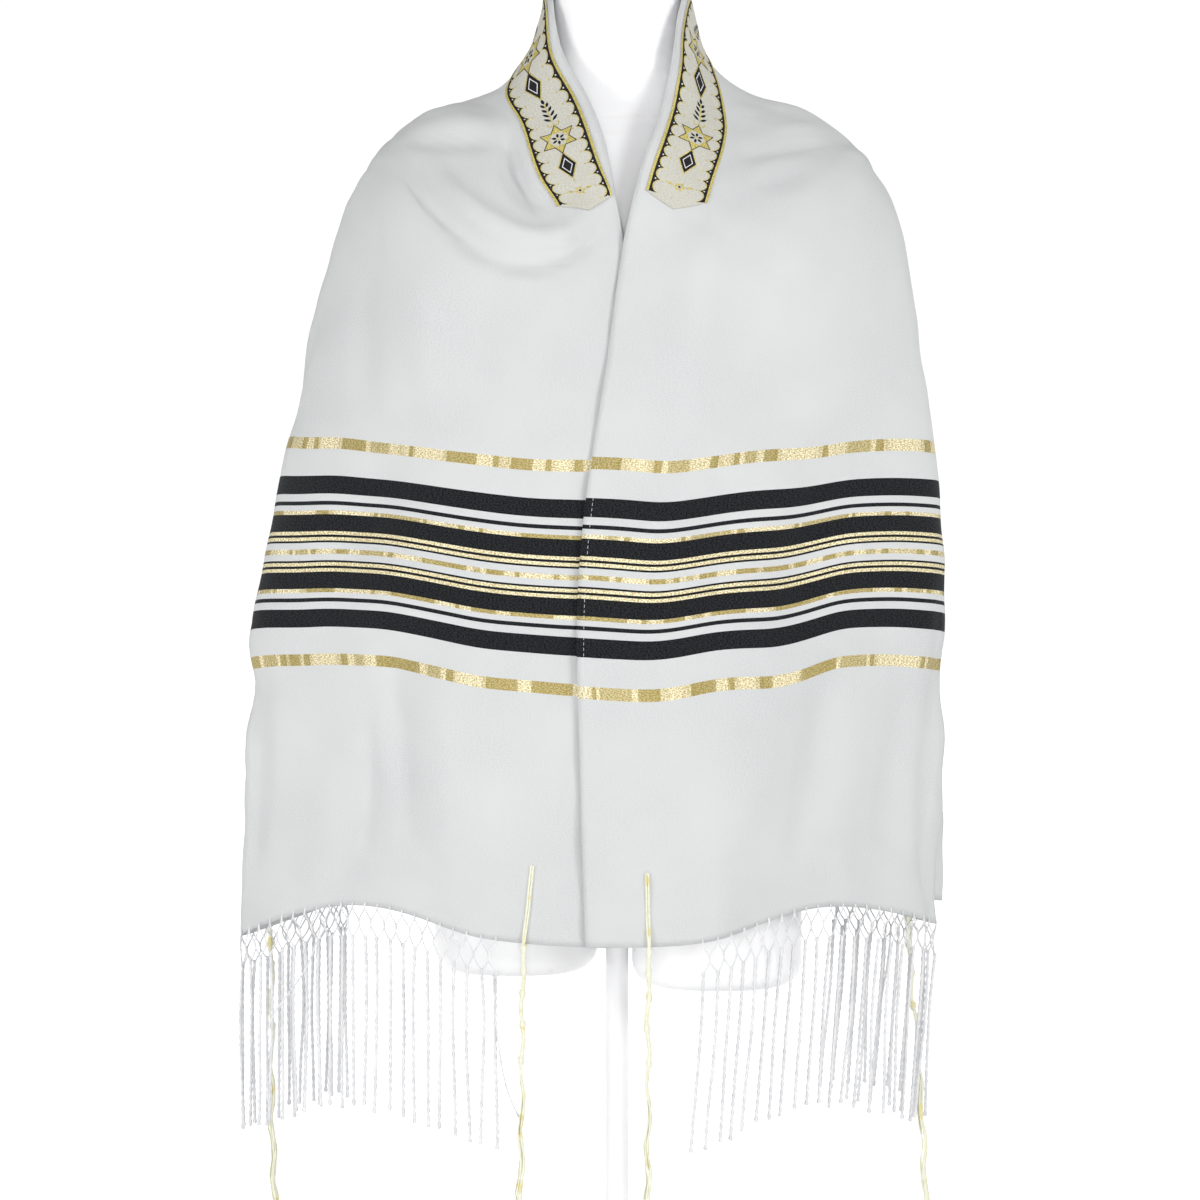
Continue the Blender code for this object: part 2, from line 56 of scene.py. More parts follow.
import bmesh
import bpy
import numpy as np
from mathutils import Vector
from mathutils.bvhtree import BVHTree
from mathutils.geometry import tessellate_polygon

MM = 0.001
scene = bpy.context.scene
print("blender", bpy.app.version_string, "quick run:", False)

# %% [markdown]
# ## The camera
# The shawl is shown straight on, from the height of its middle stripes, so the camera looks level along +Y.
# The lens angle follows from one measure: how much of the object one pixel covers on the form's axis.

# %% Camera
EYE = Vector((-0.015, -2.6, 0.6848))
PICTURE_SIDE = 1200
METRES_PER_PIXEL = 0.00088

camera_data = bpy.data.cameras.new("camera")
camera_data.sensor_width = 36.0
camera_data.angle = 2 * math.atan(PICTURE_SIDE / 2 * METRES_PER_PIXEL / -EYE.y)
camera = bpy.data.objects.new("camera", camera_data)
camera.location = EYE
camera.rotation_euler = (math.pi / 2, 0, 0)
scene.collection.objects.link(camera)
scene.camera = camera
print("lens angle", round(math.degrees(camera_data.angle), 2), "degrees")

# %% [markdown]
# ## The cut of the cloth
# The shawl is one strip, 1.93 m long and 0.60 m wide, with no shaping at all. Its long edge goes round the
# neck and down both fronts. Every weft thread runs from that edge round the body to the outer edge, so the
# draped form is a table of weft threads: how far along the strip each lies, and the seven points it
# passes. Smooth curves through the points, and then through the threads, give the whole surface.

# %% The placed weft threads
CLOTH_LENGTH = 1930.0
CLOTH_WIDTH = 600.0
TRUE_WIDTH_TO = 120.0
Weft = namedtuple("Weft", "along edge front flank side valley crest end")

LEFT_WEFTS = [
    Weft(0, (-18, -127, 394), (-124, -118, 403), (-247, -62, 421), (-328, 0, 390),
         (-237, 20, 422), (-316, 42, 400), (-304, 88, 408)),
    Weft(110, (-17, -128, 500), (-124, -119, 506), (-246, -63, 526), (-323, 0, 512),
         (-238, 22, 519), (-314, 44, 500), (-310, 88, 482)),
    Weft(160, (-18, -129, 554), (-124, -119, 560), (-244, -64, 579), (-324, 0, 571),
         (-244, 23, 555), (-311, 46, 517), (-313, 78, 448)),
    Weft(214, (-18, -130, 609), (-125, -120, 614), (-242, -66, 632), (-321, 0, 630),
         (-250, 24, 606), (-305, 48, 540), (-312, 68, 424)),
    Weft(308, (-18, -131, 703), (-127, -122, 708), (-235, -70, 727), (-306, 0, 727),
         (-262, 25, 702), (-299, 52, 630), (-310, 78, 472)),
    Weft(403, (-9, -132, 798), (-124, -122, 802), (-222, -76, 822), (-285, 0, 825),
         (-268, 26, 800), (-290, 54, 715), (-298, 88, 548)),
    Weft(500, (1, -126, 895), (-114, -122, 892), (-205, -80, 915), (-260, -2, 930),
         (-276, 36, 896), (-286, 62, 806), (-284, 99, 622)),
    Weft(591, (6, -108, 988), (-99, -112, 985), (-180, -78, 1012), (-236, 0, 1028),
         (-258, 40, 970), (-262, 76, 862), (-252, 108, 686)),
    Weft(634, (-2, -104, 1027), (-78, -105, 1016), (-163, -77, 1038), (-226, 1, 1055),
         (-246, 43, 995), (-248, 81, 880), (-233, 113, 699)),
    Weft(670, (-7, -100, 1057), (-66, -97, 1040), (-150, -70, 1058), (-216, 0, 1072),
         (-236, 44, 1016), (-236, 84, 900), (-217, 118, 702)),
    Weft(750, (-31, -74, 1125), (-84, -62, 1100), (-139, -26, 1114), (-191, 10, 1098),
         (-210, 50, 1046), (-202, 92, 930), (-176, 128, 692)),
    Weft(790, (-49, -52, 1163), (-97, -34, 1127), (-141, 4, 1122), (-183, 39, 1087),
         (-189, 77, 1009), (-174, 108, 886), (-146, 134, 681)),
    Weft(830, (-57, -29, 1208), (-97, 6, 1138), (-135, 38, 1114), (-165, 74, 1061),
         (-160, 106, 960), (-140, 124, 830), (-112, 140, 668)),
    Weft(900, (-53, 42, 1232), (-70, 74, 1150), (-80, 97, 1090), (-88, 114, 1010),
         (-85, 123, 920), (-72, 134, 790), (-55, 148, 650)),
]
NAPE_WEFT = Weft(965, (0, 75, 1240), (0, 90, 1160), (0, 107, 1095), (0, 119, 1010),
                 (0, 126, 915), (0, 136, 785), (0, 152, 644))
RIGHT_WEFTS = [
    Weft(0, (-27, -131, 394), (86, -124, 401), (196, -68, 422), (277, -4, 401),
         (190, 18, 427), (292, 54, 415), (272, 92, 419)),
    Weft(110, (-31, -132, 500), (86, -125, 504), (198, -68, 528), (282, -4, 512),
         (196, 20, 517), (291, 54, 506), (274, 92, 488)),
    Weft(160, (-32, -133, 554), (86, -125, 559), (199, -68, 581), (287, -4, 571),
         (201, 21, 555), (280, 54, 520), (272, 86, 450)),
    Weft(214, (-34, -134, 609), (85, -126, 616), (200, -68, 634), (285, -4, 630),
         (206, 22, 606), (258, 46, 538), (268, 66, 420)),
    Weft(308, (-33, -135, 703), (85, -126, 708), (203, -68, 728), (284, -2, 727),
         (224, 24, 702), (256, 50, 628), (268, 76, 468)),
    Weft(403, (-23, -136, 797), (80, -126, 802), (200, -72, 820), (276, -2, 821),
         (240, 26, 800), (260, 52, 715), (268, 86, 546)),
    Weft(500, (-8, -130, 894), (79, -124, 896), (190, -76, 918), (262, -2, 930),
         (264, 36, 896), (272, 60, 806), (270, 98, 622)),
    Weft(591, (5, -112, 988), (82, -112, 985), (176, -78, 1015), (245, 0, 1025),
         (260, 42, 970), (262, 74, 860), (250, 108, 686)),
    Weft(670, (23, -104, 1061), (78, -98, 1042), (150, -70, 1058), (222, 0, 1070),
         (238, 44, 1016), (238, 84, 900), (218, 118, 703)),
    Weft(750, (42, -78, 1124), (86, -60, 1098), (146, -20, 1110), (203, 10, 1090),
         (216, 50, 1036), (204, 92, 925), (177, 128, 692)),
    Weft(830, (56, -32, 1208), (94, 5, 1143), (139, 37, 1118), (170, 74, 1060),
         (162, 106, 957), (140, 124, 830), (112, 140, 668)),
    Weft(900, (53, 42, 1232), (70, 74, 1150), (80, 97, 1090), (88, 114, 1010),
         (85, 123, 920), (72, 134, 790), (55, 148, 650)),
]

strip = [(weft.along, weft) for weft in LEFT_WEFTS]
strip.append((NAPE_WEFT.along, NAPE_WEFT))
strip += [(CLOTH_LENGTH - weft.along, weft) for weft in reversed(RIGHT_WEFTS)]
print(len(strip), "weft threads placed over", CLOTH_LENGTH, "mm of cloth")

# %% [markdown]
# ## Curves through the threads
# A natural cubic spline is the line a thin springy batten takes through pins, and cloth bends much like
# one. The first 120 mm from the neck edge keep true distances, because the neckband and the tassel holes
# are measured there. Past that each thread takes up or gives out what the fall of the cloth needs.

# %% Spline tools
def cubic_through(stations, values, wanted):
    """Values at the wanted stations, on the natural cubic spline through the given ones."""
    stations = np.asarray(stations, float)
    values = np.asarray(values, float)
    wanted = np.asarray(wanted, float)
    count = len(stations)
    step = np.diff(stations)
    slope = np.diff(values, axis=0) / step.reshape(-1, *[1] * (values.ndim - 1))
    system = np.eye(count)
    right = np.zeros_like(values)
    for k in range(1, count - 1):
        system[k, k - 1] = step[k - 1]
        system[k, k] = 2.0 * (step[k - 1] + step[k])
        system[k, k + 1] = step[k]
        right[k] = 6.0 * (slope[k] - slope[k - 1])
    bend = np.linalg.solve(system, right.reshape(count, -1)).reshape(values.shape)
    piece = np.clip(np.searchsorted(stations, wanted, side="right") - 1, 0, count - 2)
    shape = (-1, *[1] * (values.ndim - 1))
    width = step[piece].reshape(shape)
    after = (wanted - stations[piece]).reshape(shape)
    before = width - after
    return (
        bend[piece] * before**3 / (6.0 * width)
        + bend[piece + 1] * after**3 / (6.0 * width)
        + (values[piece] / width - bend[piece] * width / 6.0) * before
        + (values[piece + 1] / width - bend[piece + 1] * width / 6.0) * after
    )


def distances_along(points):
    """How far along a row of points each one lies."""
    steps = np.linalg.norm(np.diff(points, axis=0), axis=1)
    return np.concatenate([[0.0], np.cumsum(steps)])


def weft_curve(weft, across):
    """Points of one weft thread at the given distances from the neck edge."""
    knots = np.array(weft[1:], float)
    fine = cubic_through(distances_along(knots), knots, np.linspace(0, distances_along(knots)[-1], 240))
    length = distances_along(fine)
    across = np.asarray(across, float)
    beyond = (length[-1] - TRUE_WIDTH_TO) / (CLOTH_WIDTH - TRUE_WIDTH_TO)
    true_at = np.where(across < TRUE_WIDTH_TO, across, TRUE_WIDTH_TO + (across - TRUE_WIDTH_TO) * beyond)
    return np.stack([np.interp(true_at, length, fine[:, axis]) for axis in range(3)], axis=1)


def smoothstep(low, high, value):
    """0 up to the low value, 1 from the high one, and a soft rise between them."""
    share = np.clip((value - low) / (high - low), 0.0, 1.0)
    return share * share * (3.0 - 2.0 * share)


def grid_normals(points):
    """Outward unit normals of a grid of points."""
    along = np.gradient(points, axis=0)
    across = np.gradient(points, axis=1)
    normal = np.cross(along, across)
    return normal / np.linalg.norm(normal, axis=2, keepdims=True)


middle_weft = weft_curve(strip[3][1], [0, CLOTH_WIDTH])
print("weft over the middle stripe runs from", middle_weft[0].round(), "to", middle_weft[1].round())

# %% [markdown]
# ## The pleats
# Where a straight strip turns the corner of a shoulder, the spare outer edge falls into pleats that fan out
# from the neck. Each pleat is a rounded crest that stands proud by its height at the outer edge and dies
# out towards the neck, a little hollow as it goes. A table row for each keeps them as uneven as real ones.
# The left end of the neckband is sewn nearer the edge than the rest, so there the threads are drawn in by
# up to 13 mm.

# %% Pleats
BAND_DRAWS = [(0.0, 0.0), (9.0, 7.0), (36.0, 10.0), (63.0, 13.0), (125.0, 0.0)]
DRAWN_WEFTS = {591: 0.8, 634: 1.0, 670: 0.15}
PLEAT_HOLLOW = 1.3
Pleat = namedtuple("Pleat", "side along spread starts full height")
PLEATS = [
    Pleat("left", 905, 26, 190, 520, 13),
    Pleat("left", 815, 24, 270, 550, 20),
    Pleat("left", 722, 24, 310, 570, 25),
    Pleat("left", 628, 25, 330, 570, 26),
    Pleat("left", 530, 26, 380, 590, 18),
    Pleat("left", 432, 24, 420, 590, 9),
    Pleat("right", 935, 24, 210, 540, 11),
    Pleat("right", 850, 27, 250, 540, 19),
    Pleat("right", 752, 24, 310, 570, 24),
    Pleat("right", 660, 26, 340, 570, 27),
    Pleat("right", 560, 26, 370, 590, 18),
    Pleat("right", 455, 24, 410, 590, 9),
]


def from_left_hem(side, along):
    """A distance from one side's own hem, as a distance from the left hem."""
    return along if side == "left" else CLOTH_LENGTH - along


def drawn_in(across, station):
    """Distances across the cloth, less what the left end of the neckband draws them towards the edge."""
    return across - np.interp(across, *zip(*BAND_DRAWS)) * DRAWN_WEFTS.get(station, 0.0)


def cloth_surface(along, across):
    """The middle of the cloth, as a grid of points: rows along the strip, columns across it."""
    placed = np.array([weft_curve(weft, drawn_in(across, station)) for station, weft in strip])
    points = cubic_through([station for station, _ in strip], placed, along)
    lift = np.zeros(points.shape[:2])
    for pleat in PLEATS:
        round_crest = np.exp(-(((along - from_left_hem(pleat.side, pleat.along)) / pleat.spread) ** 2))
        growing = smoothstep(pleat.starts, pleat.full, across) ** PLEAT_HOLLOW
        lift += pleat.height * np.outer(round_crest, growing)
    return points + grid_normals(points) * lift[:, :, None]


print(len(PLEATS), "pleats, the deepest", max(pleat.height for pleat in PLEATS), "mm")

# %% [markdown]
# ## The torso form
# The form is a hollow plastic moulding with a neck column, no arms, and two short stumps below. A shape
# like this is a loft: one oval for each level, squarer or rounder as the body is, and deeper behind than
# in front. The stumps are lofts too, joined on with a Boolean, so that the moulding is one closed skin.

# %% Torso levels
Level = namedtuple("Level", "height half_width front back squareness")
TORSO = [
    Level(410, 128, -66, 80, 2.4),
    Level(420, 148, -80, 96, 2.5),
    Level(440, 158, -88, 105, 2.6),
    Level(500, 163, -94, 112, 2.6),
    Level(560, 160, -96, 112, 2.5),
    Level(630, 151, -94, 103, 2.3),
    Level(720, 145, -91, 94, 2.2),
    Level(800, 154, -97, 98, 2.2),
    Level(900, 174, -106, 108, 2.2),
    Level(980, 190, -104, 112, 2.2),
    Level(1030, 198, -92, 108, 2.2),
    Level(1064, 198, -78, 98, 2.15),
    Level(1086, 189, -66, 88, 2.1),
    Level(1101, 162, -58, 80, 2.1),
    Level(1111, 136, -56, 74, 2.1),
    Level(1120, 114, -55, 69, 2.0),
    Level(1129, 94, -54, 64, 2.0),
    Level(1140, 80, -55, 61, 2.0),
    Level(1158, 64, -56, 60, 2.0),
    Level(1185, 58, -55, 58, 2.0),
    Level(1262, 57, -54, 57, 2.0),
    Level(1270, 54, -51, 54, 2.0),
    Level(1275, 47, -44, 47, 2.0),
]
Stump = namedtuple("Stump", "name inner outer foot")
STUMPS = [Stump("left", -17, -160, 362), Stump("right", 13, 162, 349)]
STUMP_FRONT = -84.0
STUMP_BACK = 101.0
STUMP_SQUARENESS = 2.4
STUMP_ROUND = 20.0
STUMP_NECK = 430.0
STUMP_TOP = 500.0
STUMP_TAPER = 10.0
STUMP_STEPS = 9
LEVEL_STEP = 6.0
SMOOTHINGS = 4
FORM_SIDES = 112


def oval(level):
    """One level of the form as a ring of points."""
    turn = np.linspace(0.0, 2.0 * math.pi, FORM_SIDES, endpoint=False)
    power = 2.0 / level.squareness
    wide = np.sign(np.cos(turn)) * np.abs(np.cos(turn)) ** power
    deep = np.sign(np.sin(turn)) * np.abs(np.sin(turn)) ** power
    depth = np.where(deep > 0, level.back, -level.front)
    return np.stack([level.half_width * wide, depth * deep, np.full(FORM_SIDES, level.height)], axis=1)


def loft(name, rings):
    """A closed mesh through rings of equally many points, lowest first."""
    bm = bmesh.new()
    layers = [[bm.verts.new(Vector(point) * MM) for point in ring] for ring in rings]
    for lower, upper in zip(layers, layers[1:]):
        for k in range(FORM_SIDES):
            after = (k + 1) % FORM_SIDES
            bm.faces.new((lower[k], lower[after], upper[after], upper[k]))
    bm.faces.new(list(reversed(layers[0])))
    bm.faces.new(layers[-1])
    mesh = bpy.data.meshes.new(name)
    bm.to_mesh(mesh)
    bm.free()
    return mesh


heights = [level.height for level in TORSO]
wanted = sorted({*heights, *np.arange(heights[0], heights[-1], LEVEL_STEP)})
sizes = np.array([level[1:] for level in TORSO], float)
smooth_sizes = np.stack([np.interp(wanted, heights, sizes[:, k]) for k in range(sizes.shape[1])], axis=1)
for _ in range(SMOOTHINGS):
    smooth_sizes[3:-6] = (smooth_sizes[2:-7] + 2 * smooth_sizes[3:-6] + smooth_sizes[4:-5]) / 4
torso_rings = [oval(Level(height, *row)) for height, row in zip(wanted, smooth_sizes)]
torso_mesh = loft("torso_form", torso_rings)
print("torso form:", len(torso_rings), "rings of", FORM_SIDES, "points")

# %% The stumps, joined on
FORM_EDGE = 40.0


def stump_rings(stump):
    """Rings of one stump, from its flat foot over a rounded edge to inside the torso."""
    half_width = abs(stump.outer - stump.inner) / 2
    rings = []
    for angle in np.linspace(0.0, math.pi / 2, STUMP_STEPS):
        rings.append((stump.foot + STUMP_ROUND * (1 - math.cos(angle)), STUMP_ROUND * (1 - math.sin(angle))))
    rings += [(STUMP_NECK, 0.0), (STUMP_TOP, STUMP_TAPER)]
    made = []
    for height, pull in rings:
        ring = oval(Level(height, half_width - pull, STUMP_FRONT + pull, STUMP_BACK - pull, STUMP_SQUARENESS))
        made.append(ring + [(stump.outer + stump.inner) / 2, 0.0, 0.0])
    return made


torso_form = bpy.data.objects.new("torso_form", torso_mesh)
scene.collection.objects.link(torso_form)
for stump in STUMPS:
    helper = bpy.data.objects.new("stump_" + stump.name, loft("stump_" + stump.name, stump_rings(stump)))
    scene.collection.objects.link(helper)
    joined = torso_form.modifiers.new("with_" + stump.name, "BOOLEAN")
    joined.operation = "UNION"
    joined.object = helper
    whole = bpy.data.meshes.new_from_object(torso_form.evaluated_get(bpy.context.evaluated_depsgraph_get()))
    torso_form.modifiers.clear()
    torso_form.data = whole
    bpy.data.objects.remove(helper)
whole.shade_smooth()
whole.set_sharp_from_angle(angle=math.radians(FORM_EDGE))
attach(torso_form, "root")
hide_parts("dress_form")
form_skin = BVHTree.FromPolygons(
    [vertex.co / MM for vertex in torso_mesh.vertices],
    [polygon.vertices for polygon in torso_mesh.polygons],
)
print("torso form joined:", len(whole.polygons), "faces")

# %% [markdown]
# ## Laying the cloth clear of the form
# A table of threads can't know where the body is, so the cloth is laid on it in rounds: every place that is
# nearer to the form than half the cloth's thickness and a seam's gap moves out along the form's own surface,
# and its neighbours share the move. A cloth simulation would do the same, with less control over the hang.

# %% Clearing
CLOTH_WALL = 1.5
SEAM_GAP = 0.3
SPARE = 0.2
CLEAR_OF_FORM = CLOTH_WALL / 2 + SEAM_GAP + SPARE
CLEARING_REACH = 40.0
CLEARING_SPREAD = 0.8
CLEARING_ROUNDS = 14
LAST_CLEARING = 3


def spread_out(push):
    """Each point's move, or a share of what its neighbours move, so that the lifted cloth has no kinks."""
    padded = np.pad(push, ((1, 1), (1, 1), (0, 0)), mode="edge")
    nearby = (padded[:-2, 1:-1] + padded[2:, 1:-1] + padded[1:-1, :-2] + padded[1:-1, 2:]) / 4.0
    own = np.linalg.norm(push, axis=2, keepdims=True)
    shared = nearby * CLEARING_SPREAD
    return np.where(own > np.linalg.norm(shared, axis=2, keepdims=True), push, shared)


def kept_clear(points, rounds):
    """The grid, moved out wherever it comes nearer to the form than it may."""
    moved = points.copy()
    for _ in range(rounds):
        push = np.zeros_like(moved)
        for place in np.ndindex(moved.shape[:2]):
            spot = Vector(moved[place])
            nearest, facing, _, reach = form_skin.find_nearest(spot, CLEARING_REACH)
            if nearest is None:
                continue
            depth = -reach if (spot - nearest).dot(facing) < 0.0 else reach
            push[place] = np.array(facing) * max(0.0, CLEAR_OF_FORM - depth)
        if not push.any():
            break
        moved += spread_out(push)
    return moved


LAY_ALONG = np.linspace(0.0, CLOTH_LENGTH, 97)
LAY_ACROSS = np.linspace(0.0, CLOTH_WIDTH, 31)
free_fall = cloth_surface(LAY_ALONG, LAY_ACROSS)
lift_off_form = kept_clear(free_fall, CLEARING_ROUNDS) - free_fall
most_lifted = float(np.linalg.norm(lift_off_form, axis=2).max())
print("cloth lifted off the form by up to", round(most_lifted, 1), "mm")

# %% [markdown]
# ## Creases
# Between the pleats the cloth is nearly flat, with a few soft folds: a crescent under the left end of the
# neckband, short folds over the shoulders and long shallow troughs down the fronts. Each is a stroke on the
# cloth from its start through a bend to its end, given as distances along from that side's hem and across
# from the neck edge. Its section is rounded and it fades at both ends, or only at its start where it runs
# out over the hem. Rows with a negative height are troughs.

# %% Creases
Crease = namedtuple("Crease", "side start bend end width height")
CREASES = [
    Crease("left", (690, 166), (600, 86), (654, 22), 10, 9.0),
    Crease("left", (660, 222), (575, 97), (646, 0), 7, -10.0),
    Crease("left", (740, 76), (676, 84), (606, 66), 9, -12.0),
    Crease("left", (720, 76), (698, 140), (676, 206), 7, -5.4),
    Crease("left", (740, 80), (724, 130), (702, 190), 9, 4.0),
    Crease("left", (600, 236), (500, 222), (392, 200), 16, -3.8),
    Crease("left", (580, 172), (490, 160), (396, 140), 18, 3.4),
    Crease("left", (556, 122), (486, 110), (396, 98), 8, -1.8),
    Crease("left", (560, 80), (480, 66), (396, 46), 14, 3.2),
    Crease("left", (430, 150), (340, 205), (250, 214), 20, -3.0),
    Crease("left", (200, 204), (120, 208), (40, 218), 7, -2.8),
    Crease("left", (262, 176), (150, 172), (40, 166), 12, -4.4),
    Crease("left", (244, 136), (140, 130), (30, 126), 15, 3.4),
    Crease("left", (250, 300), (130, 328), (24, 354), 12, -4.4),
    Crease("left", (236, 318), (170, 328), (100, 340), 22, -4.0),
    Crease("left", (205, 190), (110, 244), (2, 262), 18, 2.6),
    Crease("left", (210, 60), (100, 66), (2, 62), 22, -2.0),
    Crease("right", (744, 68), (752, 104), (757, 146), 6, -3.6),
    Crease("right", (728, 70), (722, 124), (730, 170), 8, 3.2),
    Crease("right", (712, 68), (692, 125), (698, 184), 7, -4.2),
    Crease("right", (668, 80), (650, 135), (656, 196), 16, -3.0),
    Crease("right", (656, 62), (520, 72), (390, 76), 25, 7.5),
    Crease("right", (610, 28), (516, 34), (400, 34), 18, -1.6),
    Crease("right", (420, 110), (300, 118), (200, 110), 20, -3.0),
    Crease("right", (430, 196), (300, 190), (190, 184), 20, -3.4),
    Crease("right", (222, 216), (120, 202), (24, 186), 12, -3.8),
    Crease("right", (300, 236), (150, 240), (2, 240), 20, 3.2),
    Crease("right", (225, 280), (120, 284), (30, 286), 10, -3.0),
    Crease("right", (350, 311), (170, 319), (2, 333), 6, -6.5),
    Crease("right", (150, 110), (70, 116), (2, 112), 18, 2.2),
    Crease("right", (270, 330), (170, 342), (90, 346), 24, -3.2),
    Crease("left", (880, 80), (884, 180), (872, 330), 18, 3.0),
    Crease("left", (790, 110), (776, 230), (770, 380), 16, -3.6),
    Crease("left", (690, 250), (676, 340), (668, 480), 15, -3.4),
    Crease("right", (902, 90), (900, 200), (892, 340), 16, -3.0),
    Crease("right", (820, 100), (806, 220), (796, 400), 18, 3.4),
    Crease("right", (716, 240), (700, 340), (708, 470), 15, -3.2),
    Crease("left", (950, 60), (955, 220), (948, 420), 22, 2.6),
]


STROKE_POINTS = 40
END_FADE = 0.35
HEM_FADE = 0.45
ON_HEM = 5.0


def curve_through(start, bend, end, count):
    """Points on the arc-like curve that leaves the start, passes the bend and reaches the end."""
    share = np.linspace(0.0, 1.0, count)[:, None]
    start, bend, end = (np.array(point, float) for point in (start, bend, end))
    pull = 2.0 * bend - (start + end) / 2.0
    return (1 - share) ** 2 * start + 2 * share * (1 - share) * pull + share**2 * end


def crease_height(crease, along, across):
    """What one crease adds at every point of a grid on the cloth."""
    stroke = curve_through(crease.start, crease.bend, crease.end, STROKE_POINTS)
    if crease.side == "right":
        stroke[:, 0] = CLOTH_LENGTH - stroke[:, 0]
    apart = np.hypot(along[:, None, None] - stroke[:, 0], across[None, :, None] - stroke[:, 1])
    share = apart.argmin(axis=2) / (STROKE_POINTS - 1)
    if crease.end[0] < ON_HEM:
        fade = smoothstep(0.0, HEM_FADE, share)
    else:
        fade = smoothstep(0.0, END_FADE, share) * smoothstep(0.0, END_FADE, 1 - share)
    return crease.height * fade * np.exp(-((apart.min(axis=2) / crease.width) ** 2))


print(len(CREASES), "creases placed by hand")

# %% [markdown]
# ## The draped surface
# Now the parts come together on a fine grid: the threads and pleats, the lift off the form, the creases and
# the very low ripple that no woven cloth is without. The ripple is four waves, each with its height, its
# length along and across the cloth, and where it starts. A last clearing keeps the troughs off the form.

# %% The fine surface
ALONG = np.linspace(0.0, CLOTH_LENGTH, 257)
ACROSS = np.linspace(0.0, CLOTH_WIDTH, 97)
Ripple = namedtuple("Ripple", "height along across phase")
RIPPLES = [
    Ripple(0.8, 210.0, 95.0, 0.4), Ripple(0.6, 130.0, -160.0, 1.9),
    Ripple(0.45, 74.0, 118.0, 3.1), Ripple(0.3, 47.0, -61.0, 5.2),
]
FULL_TURN = 6.28

surface = cloth_surface(ALONG, ACROSS)
lift = cubic_through(LAY_ALONG, lift_off_form, ALONG)
surface += cubic_through(LAY_ACROSS, lift.transpose(1, 0, 2), ACROSS).transpose(1, 0, 2)
relief = sum(crease_height(crease, ALONG, ACROSS) for crease in CREASES)
for ripple in RIPPLES:
    along_turn = ALONG[:, None] / ripple.along * FULL_TURN
    across_turn = ACROSS[None, :] / ripple.across * FULL_TURN
    relief += ripple.height * np.sin(along_turn + across_turn + ripple.phase)
surface += grid_normals(surface) * relief[:, :, None]
surface = kept_clear(surface, LAST_CLEARING)
normals = grid_normals(surface)
print("cloth grid", len(ALONG), "x", len(ACROSS), "reaches down to", round(surface[..., 2].min()), "mm")

# %% [markdown]
# ## Shader tools
# Every finish is a small network of nodes on a Principled shader. A few helpers keep the networks readable:
# they start a finish, add a node and wire or set its inputs, do arithmetic, blend two colours, read a table
# of greys and raise the surface.

# %% Shader tools
def new_finish(name, **settings):
    """A material and its shader, with the plain values set on the shader's own sockets."""
    made = bpy.data.materials.new(name)
    made.use_nodes = True
    shader = made.node_tree.nodes["Principled BSDF"]
    for socket, value in settings.items():
        shader.inputs[socket.replace("_", " ")].default_value = value
    return made, made.node_tree, shader


def add(tree, kind, inputs=(), **settings):
    """A node, with its settings, and its inputs wired to a socket or set to a value."""
    made = tree.nodes.new("ShaderNode" + kind)
    for key, value in settings.items():
        setattr(made, key, value)
    for key, value in dict(inputs).items():
        if isinstance(value, bpy.types.NodeSocket):
            tree.links.new(value, made.inputs[key])
        else:
            made.inputs[key].default_value = value
    return made


def math_node(tree, operation, *values):
    """The result of one sum on sockets or numbers."""
    made = add(tree, "Math", dict(enumerate(values)), operation=operation)
    return made.outputs[0]


def mixed(tree, share, first, second):
    """A blend of two colours."""
    made = add(tree, "Mix", data_type="RGBA")
    for socket, value in ((made.inputs[0], share), (made.inputs[6], first), (made.inputs[7], second)):
        if isinstance(value, bpy.types.NodeSocket):
            tree.links.new(value, socket)
        elif isinstance(value, tuple):
            socket.default_value = (*value, 1.0)
        else:
            socket.default_value = value
    return made.outputs[2]


def ramp(tree, factor, stops, steps=False):
    """A ColorRamp through (place, grey value) stops, in steps or smoothly."""
    made = add(tree, "ValToRGB", {"Fac": factor})
    band = made.color_ramp
    band.interpolation = "CONSTANT" if steps else "LINEAR"
    while len(band.elements) < len(stops):
        band.elements.new(0.5)
    for element, (place, value) in zip(band.elements, stops):
        element.position = place
    for element, (place, value) in zip(band.elements, stops):
        element.color = (value, value, value, 1.0)
    return made.outputs["Color"]


def raise_surface(tree, shader, height, depth, strength=1.0):
    """Bump of the given depth in metres."""
    bump = add(tree, "Bump", {"Height": height, "Distance": depth, "Strength": strength})
    tree.links.new(bump.outputs["Normal"], shader.inputs["Normal"])


print("shader tools ready")

# %% [markdown]
# ## The woven cloth
# The cloth is a fine plain weave of off-white wool and cotton. The stripes are woven in, so they belong to
# the cloth's own coordinates: the UV map holds metres along and across the strip, and a table of bands,
# measured from the middle line of the stripes, colours both ends alike. The gold is flat metal yarn that
# turns as it runs; the blocks of dull and glittering light that this gives along the weft are painted
# into its colour as darker and lighter gold.

# %% The stripes
STRIPE_MIDDLE = 308.5
STRIPE_REACH = 110.0
Stripe = namedtuple("Stripe", "starts yarn")
STRIPES = [
    Stripe(0.0, "gold"), Stripe(2.1, "white"), Stripe(7.4, "black"), Stripe(9.2, "gold"),
    Stripe(12.2, "black"), Stripe(14.6, "gold"), Stripe(17.4, "black"), Stripe(32.0, "gold"),
    Stripe(35.6, "white"), Stripe(40.0, "black"), Stripe(43.8, "white"), Stripe(50.0, "black"),
    Stripe(66.0, "white"), Stripe(90.0, "gold"), Stripe(100.2, "white"),
]

